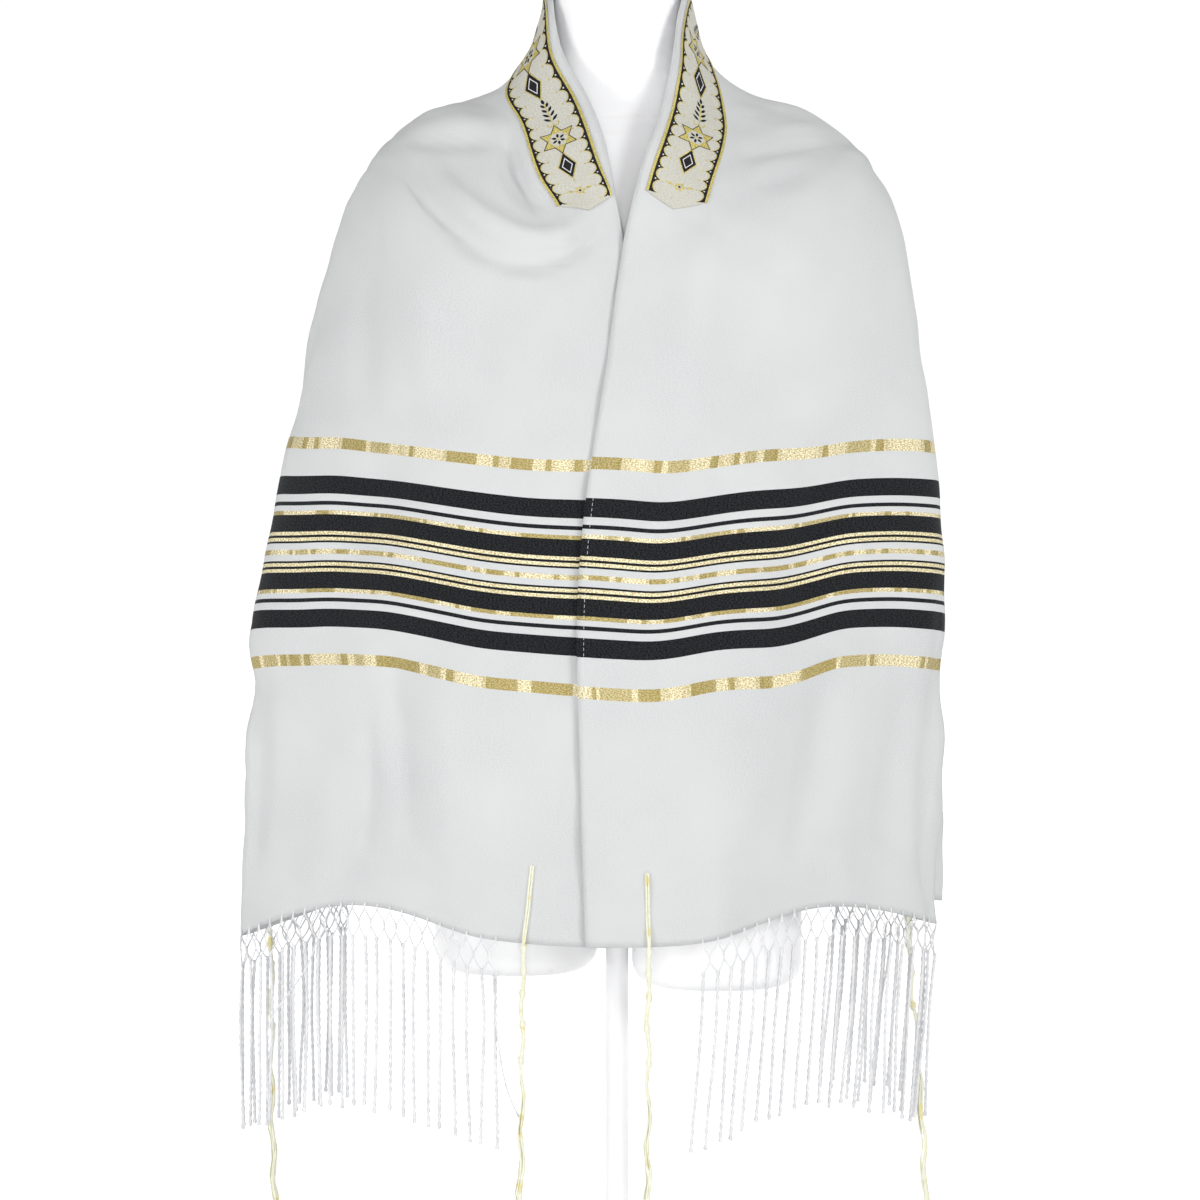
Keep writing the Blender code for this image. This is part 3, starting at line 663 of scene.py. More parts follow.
CLOTH_ROUGHNESS = 0.78
cloth_finish, tree, shader = new_finish(
    "shawl_cloth", Roughness=CLOTH_ROUGHNESS, Sheen_Weight=0.12, Sheen_Roughness=0.4, Specular_IOR_Level=0.16)
uv = add(tree, "UVMap", uv_map="metres")
places = add(tree, "SeparateXYZ", {0: uv.outputs[0]})
along = places.outputs[0]
across = places.outputs[1]
other_end = math_node(tree, "SUBTRACT", CLOTH_LENGTH * MM, along)
from_hem = math_node(tree, "MINIMUM", along, other_end)
off_middle = math_node(tree, "ABSOLUTE", math_node(tree, "SUBTRACT", from_hem, STRIPE_MIDDLE * MM))
share = math_node(tree, "DIVIDE", off_middle, STRIPE_REACH * MM)


def yarn_mask(yarn):
    """1 where the stripes are woven in this yarn, 0 elsewhere."""
    stops = [(stripe.starts / STRIPE_REACH, float(stripe.yarn == yarn)) for stripe in STRIPES]
    return ramp(tree, share, stops, steps=True)


gold_mask = yarn_mask("gold")
black_mask = yarn_mask("black")
print(len(STRIPES), "bands each way from the middle line, out to", STRIPES[-1].starts, "mm")

# %% [markdown]
# The metal yarn is a flat strip that twists over now and then: for a few centimetres it lies dull, then it
# turns its bright face up. That dull and bright reflection is painted into the colour as darker and lighter
# blocks of gold, and one row of noise along each gold stripe says where. Rounding the distance from the hem
# gives every stripe its own row, and the other end of the cloth gets other rows. Finer noise, stretched like
# the threads, paints near-white glints on top, a painted highlight. The pairs of narrow gold stripes on both
# sides of the middle one hardly turn dull at all.

# %% Gold yarn
# Gold colours with painted light: darker for the dull face, lighter for the bright one, near-white for
# glints.
GOLD_DARK = (0.31, 0.24, 0.07)
GOLD_MIDDLE = (0.52, 0.42, 0.165)
GOLD_LIVELY = (0.58, 0.47, 0.20)
GOLD_PAINTED_GLINT = (1.0, 0.94, 0.72)
ROWS_A_METRE = 37.0
ROWS_TO_OTHER_END = 31.0
ROW_APART = 7.3
TURNS_A_METRE = 21.0
GLINTS_ALONG = 1100.0
GLINTS_ACROSS = 620.0
# Where the painted dull blocks fall along a gold stripe, read from the row of noise.
PAINTED_DULL_PLACES = [
    (0.38, 0.0), (0.42, 0.3), (0.455, 0.3), (0.465, 1.0),
    (0.535, 0.85), (0.545, 0.0), (0.60, 0.1), (0.62, 0.7),
]
PAIR_MIDDLE = 12.3
PAIR_REACH = (6.0, 9.0)
PAIR_DULLNESS = 0.1

half = math_node(tree, "GREATER_THAN", along, CLOTH_LENGTH / 2 * MM)
row = math_node(tree, "ROUND", math_node(tree, "MULTIPLY", from_hem, ROWS_A_METRE))
row = math_node(tree, "ADD", row, math_node(tree, "MULTIPLY", half, ROWS_TO_OTHER_END))
row_starts = math_node(tree, "MULTIPLY", row, ROW_APART)
turn_place = math_node(tree, "ADD", math_node(tree, "MULTIPLY", across, TURNS_A_METRE), row_starts)
turns = add(tree, "TexNoise", {"Scale": 1.0, "Detail": 1.0, "W": turn_place}, noise_dimensions="1D")
stretched = add(tree, "CombineXYZ", {
    0: math_node(tree, "MULTIPLY", along, GLINTS_ALONG),
    1: math_node(tree, "MULTIPLY", across, GLINTS_ACROSS)})
# Painted glints: fine noise stretched like the threads picks out near-white specks of painted highlight.
glints = add(tree, "TexNoise", {"Vector": stretched.outputs[0], "Scale": 1.0, "Detail": 2.0})
painted_glint = ramp(tree, glints.outputs[0], [(0.45, 0.0), (0.55, 1.0)])
off_pair = math_node(tree, "ABSOLUTE", math_node(tree, "SUBTRACT", off_middle, PAIR_MIDDLE * MM))
may_dull = add(tree, "MapRange", {
    "Value": off_pair, "From Min": PAIR_REACH[0] * MM, "From Max": PAIR_REACH[1] * MM,
    "To Min": PAIR_DULLNESS})
# Painted reflection: the dull face of the turning yarn is coloured darker, the bright face lighter.
dull = math_node(tree, "MULTIPLY", ramp(tree, turns.outputs[0], PAINTED_DULL_PLACES), may_dull.outputs[0])
# The gold's colour, with painted glints on both the bright and the dull blocks.
gold = mixed(
    tree, dull, mixed(tree, painted_glint, GOLD_LIVELY, GOLD_PAINTED_GLINT), mixed(tree, painted_glint, GOLD_DARK, GOLD_MIDDLE))
print("gold yarn turns", TURNS_A_METRE, "times a metre")

# %% White and black yarn
WHITE_YARN = (0.665, 0.678, 0.682)
WHITE_SHADED = (0.585, 0.598, 0.602)
WHITE_CLOUDED = (0.672, 0.681, 0.681)
BLACK_YARN = (0.003, 0.0035, 0.006)
# A lighter black for painted sheen glints in the black stripes.
BLACK_SHEEN = (0.021, 0.023, 0.025)
CLOUDS_A_METRE = 9.0
GOLD_METAL = 0.55
GOLD_SMOOTHER = 0.36

slub = add(tree, "TexNoise", {"Vector": stretched.outputs[0], "Scale": 1.0, "Detail": 3.0})
tone = add(tree, "TexNoise", {"Vector": uv.outputs[0], "Scale": CLOUDS_A_METRE, "Detail": 2.0})
white = mixed(tree, ramp(tree, slub.outputs[0], [(0.38, 0.0), (0.62, 1.0)]), WHITE_SHADED, WHITE_YARN)
white = mixed(tree, ramp(tree, tone.outputs[0], [(0.3, 0.0), (0.7, 1.0)]), white, WHITE_CLOUDED)
# The black stripes get the same painted glints, mixed towards the lighter black.
black = mixed(tree, painted_glint, BLACK_YARN, BLACK_SHEEN)
colour = mixed(tree, gold_mask, mixed(tree, black_mask, white, black), gold)
tree.links.new(colour, shader.inputs["Base Color"])
tree.links.new(math_node(tree, "MULTIPLY", gold_mask, GOLD_METAL), shader.inputs["Metallic"])
rough = math_node(tree, "SUBTRACT", CLOTH_ROUGHNESS, math_node(tree, "MULTIPLY", gold_mask, GOLD_SMOOTHER))
tree.links.new(rough, shader.inputs["Roughness"])
print("yarn colours wired:", len(tree.nodes), "nodes")

# %% [markdown]
# The weave is too fine to model thread by thread, so it is bump: the sines of both thread directions
# multiplied give the over and under of a plain weave, and noise makes the yarn uneven.

# %% The weave
THREAD_PITCH = 0.9
UNEVEN_YARN = 1.6
WEAVE_DEPTH = 0.12


def weave_height(tree, along, across, pitch):
    """Over and under of a plain weave, from two crossed sines."""
    turn = 2 * math.pi / (pitch * MM)
    warp = math_node(tree, "SINE", math_node(tree, "MULTIPLY", along, turn))
    weft = math_node(tree, "SINE", math_node(tree, "MULTIPLY", across, turn))
    return math_node(tree, "MULTIPLY", warp, weft)


weave = weave_height(tree, along, across, THREAD_PITCH)
uneven = math_node(tree, "ADD", weave, math_node(tree, "MULTIPLY", slub.outputs[0], UNEVEN_YARN))
raise_surface(tree, shader, uneven, WEAVE_DEPTH * MM, 0.8)
print("weave pitch", THREAD_PITCH, "mm")

# %% Cloth as a shell
CLOTH_THICKNESS = 0.9


def cloth_sheet(name, grid, u_values, v_values, finish, thickness):
    """A thin closed shell round a grid of points, with a UV map in metres along and across."""
    rows, columns = grid.shape[:2]
    faces = []
    for row in range(rows - 1):
        for column in range(columns - 1):
            first = row * columns + column
            faces.append((first, first + columns, first + columns + 1, first + 1))
    mesh = bpy.data.meshes.new(name)
    mesh.from_pydata((grid.reshape(-1, 3) * MM).tolist(), [], faces)
    uv_map = mesh.uv_layers.new(name="metres")
    u_grid, v_grid = np.broadcast_arrays(u_values, v_values)
    flat = np.stack([u_grid, v_grid], axis=2).reshape(-1, 2) * MM
    corners = np.empty(len(mesh.loops), np.int32)
    mesh.loops.foreach_get("vertex_index", corners)
    uv_map.data.foreach_set("uv", flat[corners].astype(np.float32).ravel())
    mesh.shade_smooth()
    mesh.materials.append(finish)
    made = bpy.data.objects.new(name, mesh)
    scene.collection.objects.link(made)
    wall = made.modifiers.new("thickness", "SOLIDIFY")
    wall.thickness = thickness * MM
    wall.offset = 0.0
    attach(made, "root")
    return made


print("cloth shells", CLOTH_THICKNESS, "mm thick")

# %% [markdown]
# ## Stripes pulled out of line
# Cloth that is draped by hand never keeps its stripes quite level: the wefts sag or ride up by up to a
# centimetre. The table says by how much at the top and at the bottom of the stripes; above and below them
# the pull dies out.

# %% Pulled stripes
Pull = namedtuple("Pull", "across upper lower")
PULLS = {
    "left": [
        Pull(0, 2.0, 0.0), Pull(30, 1.5, -1.0), Pull(60, 1.0, -2.5), Pull(100, -1.0, -4.0),
        Pull(130, -1.5, -6.0), Pull(150, -1.0, -6.5), Pull(180, 1.0, -6.0), Pull(205, 3.5, -3.5),
        Pull(235, 6.0, -1.0), Pull(260, 9.0, 1.5), Pull(285, 10.0, 2.5), Pull(305, 8.0, 3.0),
        Pull(340, 5.0, 2.0), Pull(400, 0.0, 0.0),
    ],
    "right": [
        Pull(0, -1.0, 0.0), Pull(40, 2.0, 3.5), Pull(65, 4.5, 5.0), Pull(90, 3.5, 3.5),
        Pull(120, 2.0, 1.5), Pull(140, 2.5, 3.5), Pull(165, 5.0, 7.5), Pull(195, 6.5, 6.5),
        Pull(220, 5.0, 2.0), Pull(245, 5.0, 1.5), Pull(275, 6.0, 2.5), Pull(305, 7.0, 4.0),
        Pull(340, 5.0, 3.0), Pull(400, 0.0, 0.0),
    ],
}
STRIPE_HALF = 66.0
PULL_GOES_ON = 1.5
PULL_FADES = 70.0


def pulled(side, from_hem):
    """How far the cloth's own measure runs ahead, over a grid of distances from one hem and across."""
    places = [0.0, *(pull.across for pull in PULLS[side][1:]), CLOTH_WIDTH]
    upper = cubic_through(places, [*(pull.upper for pull in PULLS[side]), 0.0], ACROSS)
    lower = cubic_through(places, [*(pull.lower for pull in PULLS[side]), 0.0], ACROSS)
    off_middle = from_hem - STRIPE_MIDDLE
    share = np.clip(off_middle / STRIPE_HALF, -PULL_GOES_ON, PULL_GOES_ON)[:, None] / 2 + 0.5
    fade = 1 - smoothstep(STRIPE_REACH, STRIPE_REACH + PULL_FADES, np.abs(off_middle))
    return (lower + (upper - lower) * share) * fade[:, None]


measure = ALONG[:, None] + pulled("left", ALONG) - pulled("right", CLOTH_LENGTH - ALONG)
shawl = cloth_sheet("shawl_cloth", surface, measure, ACROSS[None, :], cloth_finish, CLOTH_THICKNESS)
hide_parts("shawl")
print("shawl:", len(shawl.data.polygons), "faces before its thickness")

# %% [markdown]
# ## The neckband's ground
# The neckband, or atarah, is a brocade ribbon 54 mm wide, sewn 9 mm in from the neck edge, with both ends
# cut to a shallow point. It follows the cloth, so its places are the cloth's own, on a closer grid, moved out
# by half of both thicknesses and a hair more. Any flat place on it blends the four corners of the grid cell
# that it falls in.

# %% The neckband's ground
BAND_START = 9.0
BAND_WIDTH = 54.0
BAND_ENDS = (634.0, CLOTH_LENGTH - 637.0)
BAND_POINT = 12.0
BAND_THICKNESS = 0.8
BAND_LIFT = 1.1
BAND_MIDDLE = BAND_START + BAND_WIDTH / 2
BAND_SPARE = (20, 3)
BAND_GRID = (223, 19)
CLOSE_STEP = 2.5
CLOSE_COLUMNS = 25


def blended(grid, rows, columns, along, across):
    """Values of a grid at any flat places, each from the four corners of its cell."""
    along, across = np.broadcast_arrays(np.asarray(along, float), np.asarray(across, float))
    row = np.clip(np.searchsorted(rows, along, side="right") - 1, 0, len(rows) - 2)
    column = np.clip(np.searchsorted(columns, across, side="right") - 1, 0, len(columns) - 2)
    down = ((along - rows[row]) / (rows[row + 1] - rows[row]))[..., None]
    over = ((across - columns[column]) / (columns[column + 1] - columns[column]))[..., None]
    near = grid[row, column] * (1 - over) + grid[row, column + 1] * over
    far = grid[row + 1, column] * (1 - over) + grid[row + 1, column + 1] * over
    return near * (1 - down) + far * down


close_along = np.arange(BAND_ENDS[0] - BAND_SPARE[0], BAND_ENDS[1] + BAND_SPARE[0], CLOSE_STEP)
close_across = np.linspace(BAND_START - BAND_SPARE[1], BAND_START + BAND_WIDTH + BAND_SPARE[1], CLOSE_COLUMNS)
close = cubic_through(ALONG, surface, close_along)
close = cubic_through(ACROSS, close.transpose(1, 0, 2), close_across).transpose(1, 0, 2)
close_normals = grid_normals(close)


def on_band(along, across, lift):
    """Points over the cloth beside the neck edge, raised off its middle by the lift."""
    spots = blended(close, close_along, close_across, along, across)
    return spots + blended(close_normals, close_along, close_across, along, across) * lift


flat_across = np.linspace(BAND_START, BAND_START + BAND_WIDTH, BAND_GRID[1])[None, :]
point = BAND_POINT * (1 - np.abs(flat_across - BAND_MIDDLE) / (BAND_WIDTH / 2))
share_along = np.linspace(0, 1, BAND_GRID[0])[:, None]
flat_along = (BAND_ENDS[0] - point) * (1 - share_along) + (BAND_ENDS[1] + point) * share_along
print("close grid", close.shape[0], "x", close.shape[1], "for a band from", *BAND_ENDS, "mm")

# %% [markdown]
# The band's ground is ivory silk, woven closer than the shawl. Two noises mottle it: a fine one for the
# unevenness of the yarn, and a broad one that clouds it a little, as handled silk is.

# %% Ivory ground
IVORY_SHADED = (0.48, 0.467, 0.395)
IVORY = (0.65, 0.64, 0.58)
IVORY_CLOUDED = (0.58, 0.567, 0.495)
SILK_PITCH = 0.7
SILK_DEPTH = 0.08

brocade, tree, shader = new_finish(
    "brocade_ground", Roughness=0.62, Sheen_Weight=0.15, Specular_IOR_Level=0.35)
uv = add(tree, "UVMap", uv_map="metres")
places = add(tree, "SeparateXYZ", {0: uv.outputs[0]})
floats = weave_height(tree, places.outputs[0], places.outputs[1], SILK_PITCH)
mottle = add(tree, "TexNoise", {"Vector": uv.outputs[0], "Scale": 700.0, "Detail": 3.0})
clouding = add(tree, "TexNoise", {"Vector": uv.outputs[0], "Scale": 45.0, "Detail": 2.0})
ivory = mixed(tree, ramp(tree, mottle.outputs[0], [(0.35, 0.0), (0.65, 1.0)]), IVORY_SHADED, IVORY)
ivory = mixed(tree, ramp(tree, clouding.outputs[0], [(0.3, 0.0), (0.7, 0.5)]), ivory, IVORY_CLOUDED)
tree.links.new(ivory, shader.inputs["Base Color"])
raise_surface(tree, shader, floats, SILK_DEPTH * MM, 0.7)

neckband = cloth_sheet(
    "neckband_ground", on_band(flat_along, flat_across, BAND_LIFT), flat_along, flat_across, brocade,
    BAND_THICKNESS)
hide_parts("neckband")
print("neckband ground:", len(neckband.data.polygons), "faces")

# %% [markdown]
# ## Drawing the brocade
# The pattern is laid out flat, as on the weaver's point paper, in millimetres along and across the band.
# Each colour of thread is a list of flat outlines; they are cut into small triangles and then set down on
# the band's curved face, where they stand a tenth of a millimetre or two proud, like real brocading weft.

# %% Outlines for the pattern
threads = {"gold": [], "black": [], "white": []}
THREAD_LEVEL = {"gold": 0.08, "black": 0.11, "white": 0.17}


def stroke(colour, line, width, closed=False):
    """A line of even width, as four-sided outlines between its points."""
    line = np.asarray(line, float)
    if closed:
        line = np.vstack([line, line[:1]])
    ahead = np.diff(line, axis=0)
    ahead /= np.linalg.norm(ahead, axis=1, keepdims=True)
    before = np.vstack([ahead[-1:] if closed else ahead[:1], ahead])
    after = np.vstack([ahead, ahead[:1] if closed else ahead[-1:]])
    middle = before + after
    middle /= np.maximum(np.linalg.norm(middle, axis=1, keepdims=True), 0.5)
    mitre = 1 / np.clip(np.abs((middle * after).sum(axis=1, keepdims=True)), 0.45, 1)
    side = np.stack([-middle[:, 1], middle[:, 0]], axis=1) * width / 2 * mitre
    left, right = line + side, line - side
    threads[colour] += [np.array([left[k], left[k + 1], right[k + 1], right[k]]) for k in range(len(ahead))]


def ring_of_points(middle, radius, sides, turn=0.0):
    """The corners of an even polygon, the first one straight along the band from the middle."""
    angle = np.linspace(0, 2 * math.pi, sides, endpoint=False) + turn
    return np.array(middle) + radius * np.stack([np.cos(angle), np.sin(angle)], axis=1)


def leaf(foot, tip, width):
    """A pointed leaf from its foot to its tip."""
    foot, tip = np.array(foot, float), np.array(tip, float)
    step = (tip - foot) / 4
    side = np.array([-step[1], step[0]]) / np.linalg.norm(step) * width / 2
    return np.array([
        foot, foot + step + 0.8 * side, foot + 2 * step + side, foot + 3 * step + 0.7 * side, tip,
        foot + 3 * step - 0.7 * side, foot + 2 * step - side, foot + step - 0.8 * side])


def set_down(outlines, at, ahead):
    """Outlines drawn about a motif's middle, moved to their place; ahead is 1 or -1 along the band."""
    return [
        np.stack([at + ahead * outline[:, 0], BAND_MIDDLE + outline[:, 1]], axis=1) for outline in outlines]


print("pattern tools ready")

# %% [markdown]
# The border is the same on both edges: a gold strip, then black teeth whose sides are the backs of a row of
# scallops, each scallop drawn in fine gold, with a white dot in every tooth and a gold dot behind it.

# %% The border
REPEATS = 48
repeat = (BAND_ENDS[1] - BAND_ENDS[0]) / REPEATS
GOLD_STRIP = (0.2, 2.5)
SCALLOP_BACK = 4.4
SCALLOP_RADIUS = 7.2
SCALLOP_LINE = 0.8
SCALLOP_LINE_IN = 0.45
Dot = namedtuple("Dot", "colour depth radius")
DOTS = [Dot("white", 5.4, 0.75), Dot("gold", 12.4, 0.85)]
scallop_x = np.linspace(-repeat / 2, repeat / 2, 13)
scallop_y = SCALLOP_BACK + SCALLOP_RADIUS - np.sqrt(SCALLOP_RADIUS**2 - scallop_x**2)

for edge, inward in ((BAND_START, 1), (BAND_START + BAND_WIDTH, -1)):
    strip_middle = edge + inward * sum(GOLD_STRIP) / 2
    stations = np.linspace(*BAND_ENDS, 4 * REPEATS + 1)
    strip_line = np.stack([stations, np.full_like(stations, strip_middle)], axis=1)
    stroke("gold", strip_line, GOLD_STRIP[1] - GOLD_STRIP[0])
    for k in range(REPEATS):
        middle = BAND_ENDS[0] + (k + 0.5) * repeat
        curve = np.stack([middle + scallop_x, edge + inward * scallop_y], axis=1)
        straight = curve[::-1].copy()
        straight[:, 1] = edge + inward * GOLD_STRIP[1]
        for j in range(len(curve) - 1):
            threads["black"].append(np.array([curve[j], curve[j + 1], straight[-2 - j], straight[-1 - j]]))
        stroke("gold", curve + [0, inward * SCALLOP_LINE_IN], SCALLOP_LINE)
        for dot in DOTS:
            spot = (middle - repeat / 2, edge + inward * dot.depth)
            threads[dot.colour].append(ring_of_points(spot, dot.radius, 8))
print(REPEATS, "scallops on each edge,", round(repeat, 2), "mm apart")

# %% [markdown]
# Down the middle run motifs that any weaver of such bands would know: a six-pointed star, a lozenge and a
# leafy sprig, with a small rosette at each end. Each is drawn once about its own middle, then set down
# along the band, facing up from both ends.

# %% The motifs
STAR_RADIUS = 16.5
LOZENGE = (16.0, 8.0)
ROSETTE_FROM_END = 13.0
MOTIF_FIRST = 46.0
MOTIFS = 9


def drawn(draw):
    """What a drawing function adds to each colour, taken out again as a motif to set down."""
    kept = {colour: list(outlines) for colour, outlines in threads.items()}
    for outlines in threads.values():
        outlines.clear()
    draw()
    motif = {colour: list(outlines) for colour, outlines in threads.items()}
    for colour, outlines in threads.items():
        outlines[:] = kept[colour]
    return motif


def draw_star():
    """A gold star with a black outline, and a small six-petalled flower in its middle."""
    tips = ring_of_points((0, 0), STAR_RADIUS, 6)
    notches = ring_of_points((0, 0), STAR_RADIUS / math.sqrt(3), 6, math.pi / 6)
    feet, ends = ring_of_points((0, 0), 1.6, 6), ring_of_points((0, 0), 6.4, 6)
    for k in range(6):
        threads["gold"].append(np.array([notches[k - 1], tips[k], notches[k]]))
        threads["black"].append(leaf(feet[k], ends[k], 2.4))
    stroke("black", np.stack([tips, notches], axis=1).reshape(-1, 2), 0.7, closed=True)
    stroke("gold", notches * 0.94, 0.8, closed=True)
    threads["gold"].append(ring_of_points((0, 0), 1.1, 8))


def draw_lozenge():
    """A black lozenge edged in gold, with a white one inside it and a gold dot at each end."""
    for share, colour, width in ((1.0, "gold", 1.0), (0.55, "white", 0.7)):
        corners = np.array([(LOZENGE[0], 0), (0, LOZENGE[1]), (-LOZENGE[0], 0), (0, -LOZENGE[1])]) * share
        if colour == "gold":
            threads["black"].append(corners * 0.94)
        stroke(colour, corners, width, closed=True)
    threads["gold"].append(ring_of_points((0, 0), 1.2, 8))
    for end in (-1, 1):
        threads["gold"].append(ring_of_points((end * (LOZENGE[0] + 3.0), 0), 1.0, 8))


def draw_sprig():
    """A gold stem with four pairs of black leaves, one more at its tip, and a forked foot."""
    stroke("gold", [(-14, 0), (-8, 0.5), (-2, 0.3), (4, 0), (10, 0)], 0.9)
    for place in (-9, -4, 1, 6):
        reach = 6.6 - 0.2 * (place + 9)
        for side in (-1, 1):
            threads["black"].append(leaf((place, side * 0.7), (place + 4.4, side * reach), 2.5))
    threads["black"].append(leaf((9.5, 0), (15, 0), 3.0))
    for side in (-1, 1):
        stroke("gold", [(-14, side * 0.4), (-15.5, side * 3), (-13.5, side * 5.4), (-11, side * 4.6)], 0.9)


def draw_rosette():
    """A six-petalled gold flower between two leaves."""
    for petal in ring_of_points((0, 0), 5.2, 6, math.pi / 6):
        threads["gold"].append(leaf(petal * 0.3, petal, 2.8))
    threads["black"].append(ring_of_points((0, 0), 1.2, 8))
    for side in (-1, 1):
        threads["gold"].append(leaf((0.5, side * 5.5), (2.0, side * 12.0), 2.6))


band_middle = sum(BAND_ENDS) / 2
motif_gap = (band_middle - BAND_ENDS[0] - MOTIF_FIRST) / MOTIFS
star, lozenge, sprig, rosette = (drawn(draw) for draw in (draw_star, draw_lozenge, draw_sprig, draw_rosette))
order = [lozenge, star, sprig] * 3
laid = [
    (rosette, BAND_ENDS[0] + ROSETTE_FROM_END, 1), (rosette, BAND_ENDS[1] - ROSETTE_FROM_END, -1),
    (star, band_middle, 1),
]
for k, motif in enumerate(order):
    reach = MOTIF_FIRST + k * motif_gap
    laid += [(motif, BAND_ENDS[0] + reach, 1), (motif, BAND_ENDS[1] - reach, -1)]
for motif, at, ahead in laid:
    for colour, outlines in motif.items():
        threads[colour] += set_down(outlines, at, ahead)
print(len(laid), "motifs along the band,", round(motif_gap, 1), "mm apart")

# %% [markdown]
# Now the outlines become thread. Long edges are halved until the pattern can bend with the band, and each
# colour gets its own finish: half-metallic gold yarn, matt black silk and plain white silk.

# %% Brocading threads
LONGEST_EDGE = 4.0
HALVINGS = 3
THREAD_PROUD = 0.1
FIBRES_A_METRE = 1500.0
FIBRE_DEPTH = 0.1


def thread_finish(name, dark, light, metallic, roughness):
    """Silk or metal thread: fine noise between two shades of its colour, and as bump."""
    made, tree, shader = new_finish(name, Metallic=metallic, Roughness=roughness, Specular_IOR_Level=0.25)
    place = add(tree, "TexCoord").outputs["Object"]
    fine = add(tree, "TexNoise", {"Vector": place, "Scale": FIBRES_A_METRE, "Detail": 2.0})
    share = ramp(tree, fine.outputs[0], [(0.38, 0.0), (0.62, 1.0)])
    tree.links.new(mixed(tree, share, dark, light), shader.inputs["Base Color"])
    raise_surface(tree, shader, fine.outputs[0], FIBRE_DEPTH * MM, 0.6)
    return made


def brocade_piece(colour, finish):
    """All the outlines of one colour, as a thin sheet on the band's face."""
    bm = bmesh.new()
    for outline in threads[colour]:
        corners = [Vector((*spot, 0.0)) for spot in outline]
        made = [bm.verts.new(corner) for corner in corners]
        for triangle in tessellate_polygon([corners]):
            bm.faces.new([made[k] for k in triangle])
    for _ in range(HALVINGS):
        long_edges = [edge for edge in bm.edges if edge.calc_length() > LONGEST_EDGE]
        if long_edges:
            bmesh.ops.subdivide_edges(bm, edges=long_edges, cuts=1)
            bmesh.ops.triangulate(bm, faces=bm.faces[:])
    flat = np.array([vertex.co[:2] for vertex in bm.verts])
    placed = on_band(flat[:, 0], flat[:, 1], BAND_LIFT + BAND_THICKNESS / 2 + THREAD_LEVEL[colour])
    for vertex, spot in zip(bm.verts, placed):
        vertex.co = Vector(spot) * MM
    out = blended(close_normals, close_along, close_across, flat[:, 0], flat[:, 1])
    bm.normal_update()
    for face in bm.faces[:]:
        if face.normal.dot(Vector(out[face.verts[0].index])) < 0:
            face.normal_flip()
    mesh = bpy.data.meshes.new("neckband_" + colour)
    bm.to_mesh(mesh)
    bm.free()
    mesh.materials.append(finish)
    made = bpy.data.objects.new("neckband_" + colour, mesh)
    scene.collection.objects.link(made)
    wall = made.modifiers.new("thickness", "SOLIDIFY")
    wall.thickness = THREAD_PROUD * MM
    wall.offset = 0.0
    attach(made, "root")
    return made


Silk = namedtuple("Silk", "dark light metallic roughness")
SILKS = {
    "gold": Silk((0.44, 0.35, 0.06), (0.92, 0.80, 0.30), 0.6, 0.42),
    "black": Silk((0.004, 0.004, 0.006), (0.018, 0.018, 0.024), 0.0, 0.7),
    "white": Silk((0.62, 0.62, 0.62), (0.85, 0.85, 0.84), 0.0, 0.6),
}
band_pieces = [
    brocade_piece(colour, thread_finish(colour + "_thread", *silk)) for colour, silk in SILKS.items()]
print({piece.name: len(piece.data.polygons) for piece in band_pieces})

# %% [markdown]
# ## Yarn and cord
# Every cord here is a row of rings along a path. With two lobes to its section, turning as it goes, a cord
# reads as twisted from two plies. All the cords of one fringe or tassel join in one mesh.

# %% Cord tools
def ringed(path, radius, sides=6, lobes=0, pitch=14.0, depth=0.22):
    """Rings of points round a path that runs mostly up and down; each point may have its own radius."""
    path = np.asarray(path, float)
    ahead = np.gradient(path, axis=0)
    ahead /= np.linalg.norm(ahead, axis=1, keepdims=True)
    side = np.cross(ahead, (0.0, 1.0, 0.0))
    side /= np.linalg.norm(side, axis=1, keepdims=True)
    front = np.cross(side, ahead)
    angle = np.linspace(0, 2 * math.pi, sides, endpoint=False)[None, :]
    turn = (distances_along(path) / pitch * 2 * math.pi)[:, None]
    twist = depth * np.cos(lobes * (angle - turn)) * (lobes > 0)
    reach = np.broadcast_to(radius, len(path))[:, None] * (1 + twist)
    around = np.cos(angle)[..., None] * side[:, None] + np.sin(angle)[..., None] * front[:, None]
    return path[:, None] + reach[..., None] * around


def joined_cords(name, cords, finish):
    """One mesh of closed tubes from lists of rings."""
    points, faces = [], []
    for rings in cords:
        count, sides = rings.shape[:2]
        first = sum(len(made) for made in points)
        points.append(rings.reshape(-1, 3))
        for row in range(count - 1):
            for k in range(sides):
                here, after = first + row * sides + k, first + row * sides + (k + 1) % sides
                faces.append((here, after, after + sides, here + sides))
        faces.append(tuple(range(first + sides - 1, first - 1, -1)))
        faces.append(tuple(range(first + (count - 1) * sides, first + count * sides)))
    mesh = bpy.data.meshes.new(name)
    mesh.from_pydata((np.vstack(points) * MM).tolist(), [], faces)
    mesh.shade_smooth()
    mesh.set_sharp_from_angle(angle=math.radians(60))
    mesh.materials.append(finish)
    made = bpy.data.objects.new(name, mesh)
    scene.collection.objects.link(made)
    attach(made, "root")
    return made


def run(points, step):
    """Points at an even step on the smooth curve through the given ones."""
    points = np.asarray(points, float)
    length = distances_along(points)
    return cubic_through(length, points, np.linspace(0, length[-1], max(3, round(length[-1] / step) + 1)))


DYE_EDGE = 0.12
FUZZ_A_METRE = 1400.0
FUZZ_DEPTH = 0.4


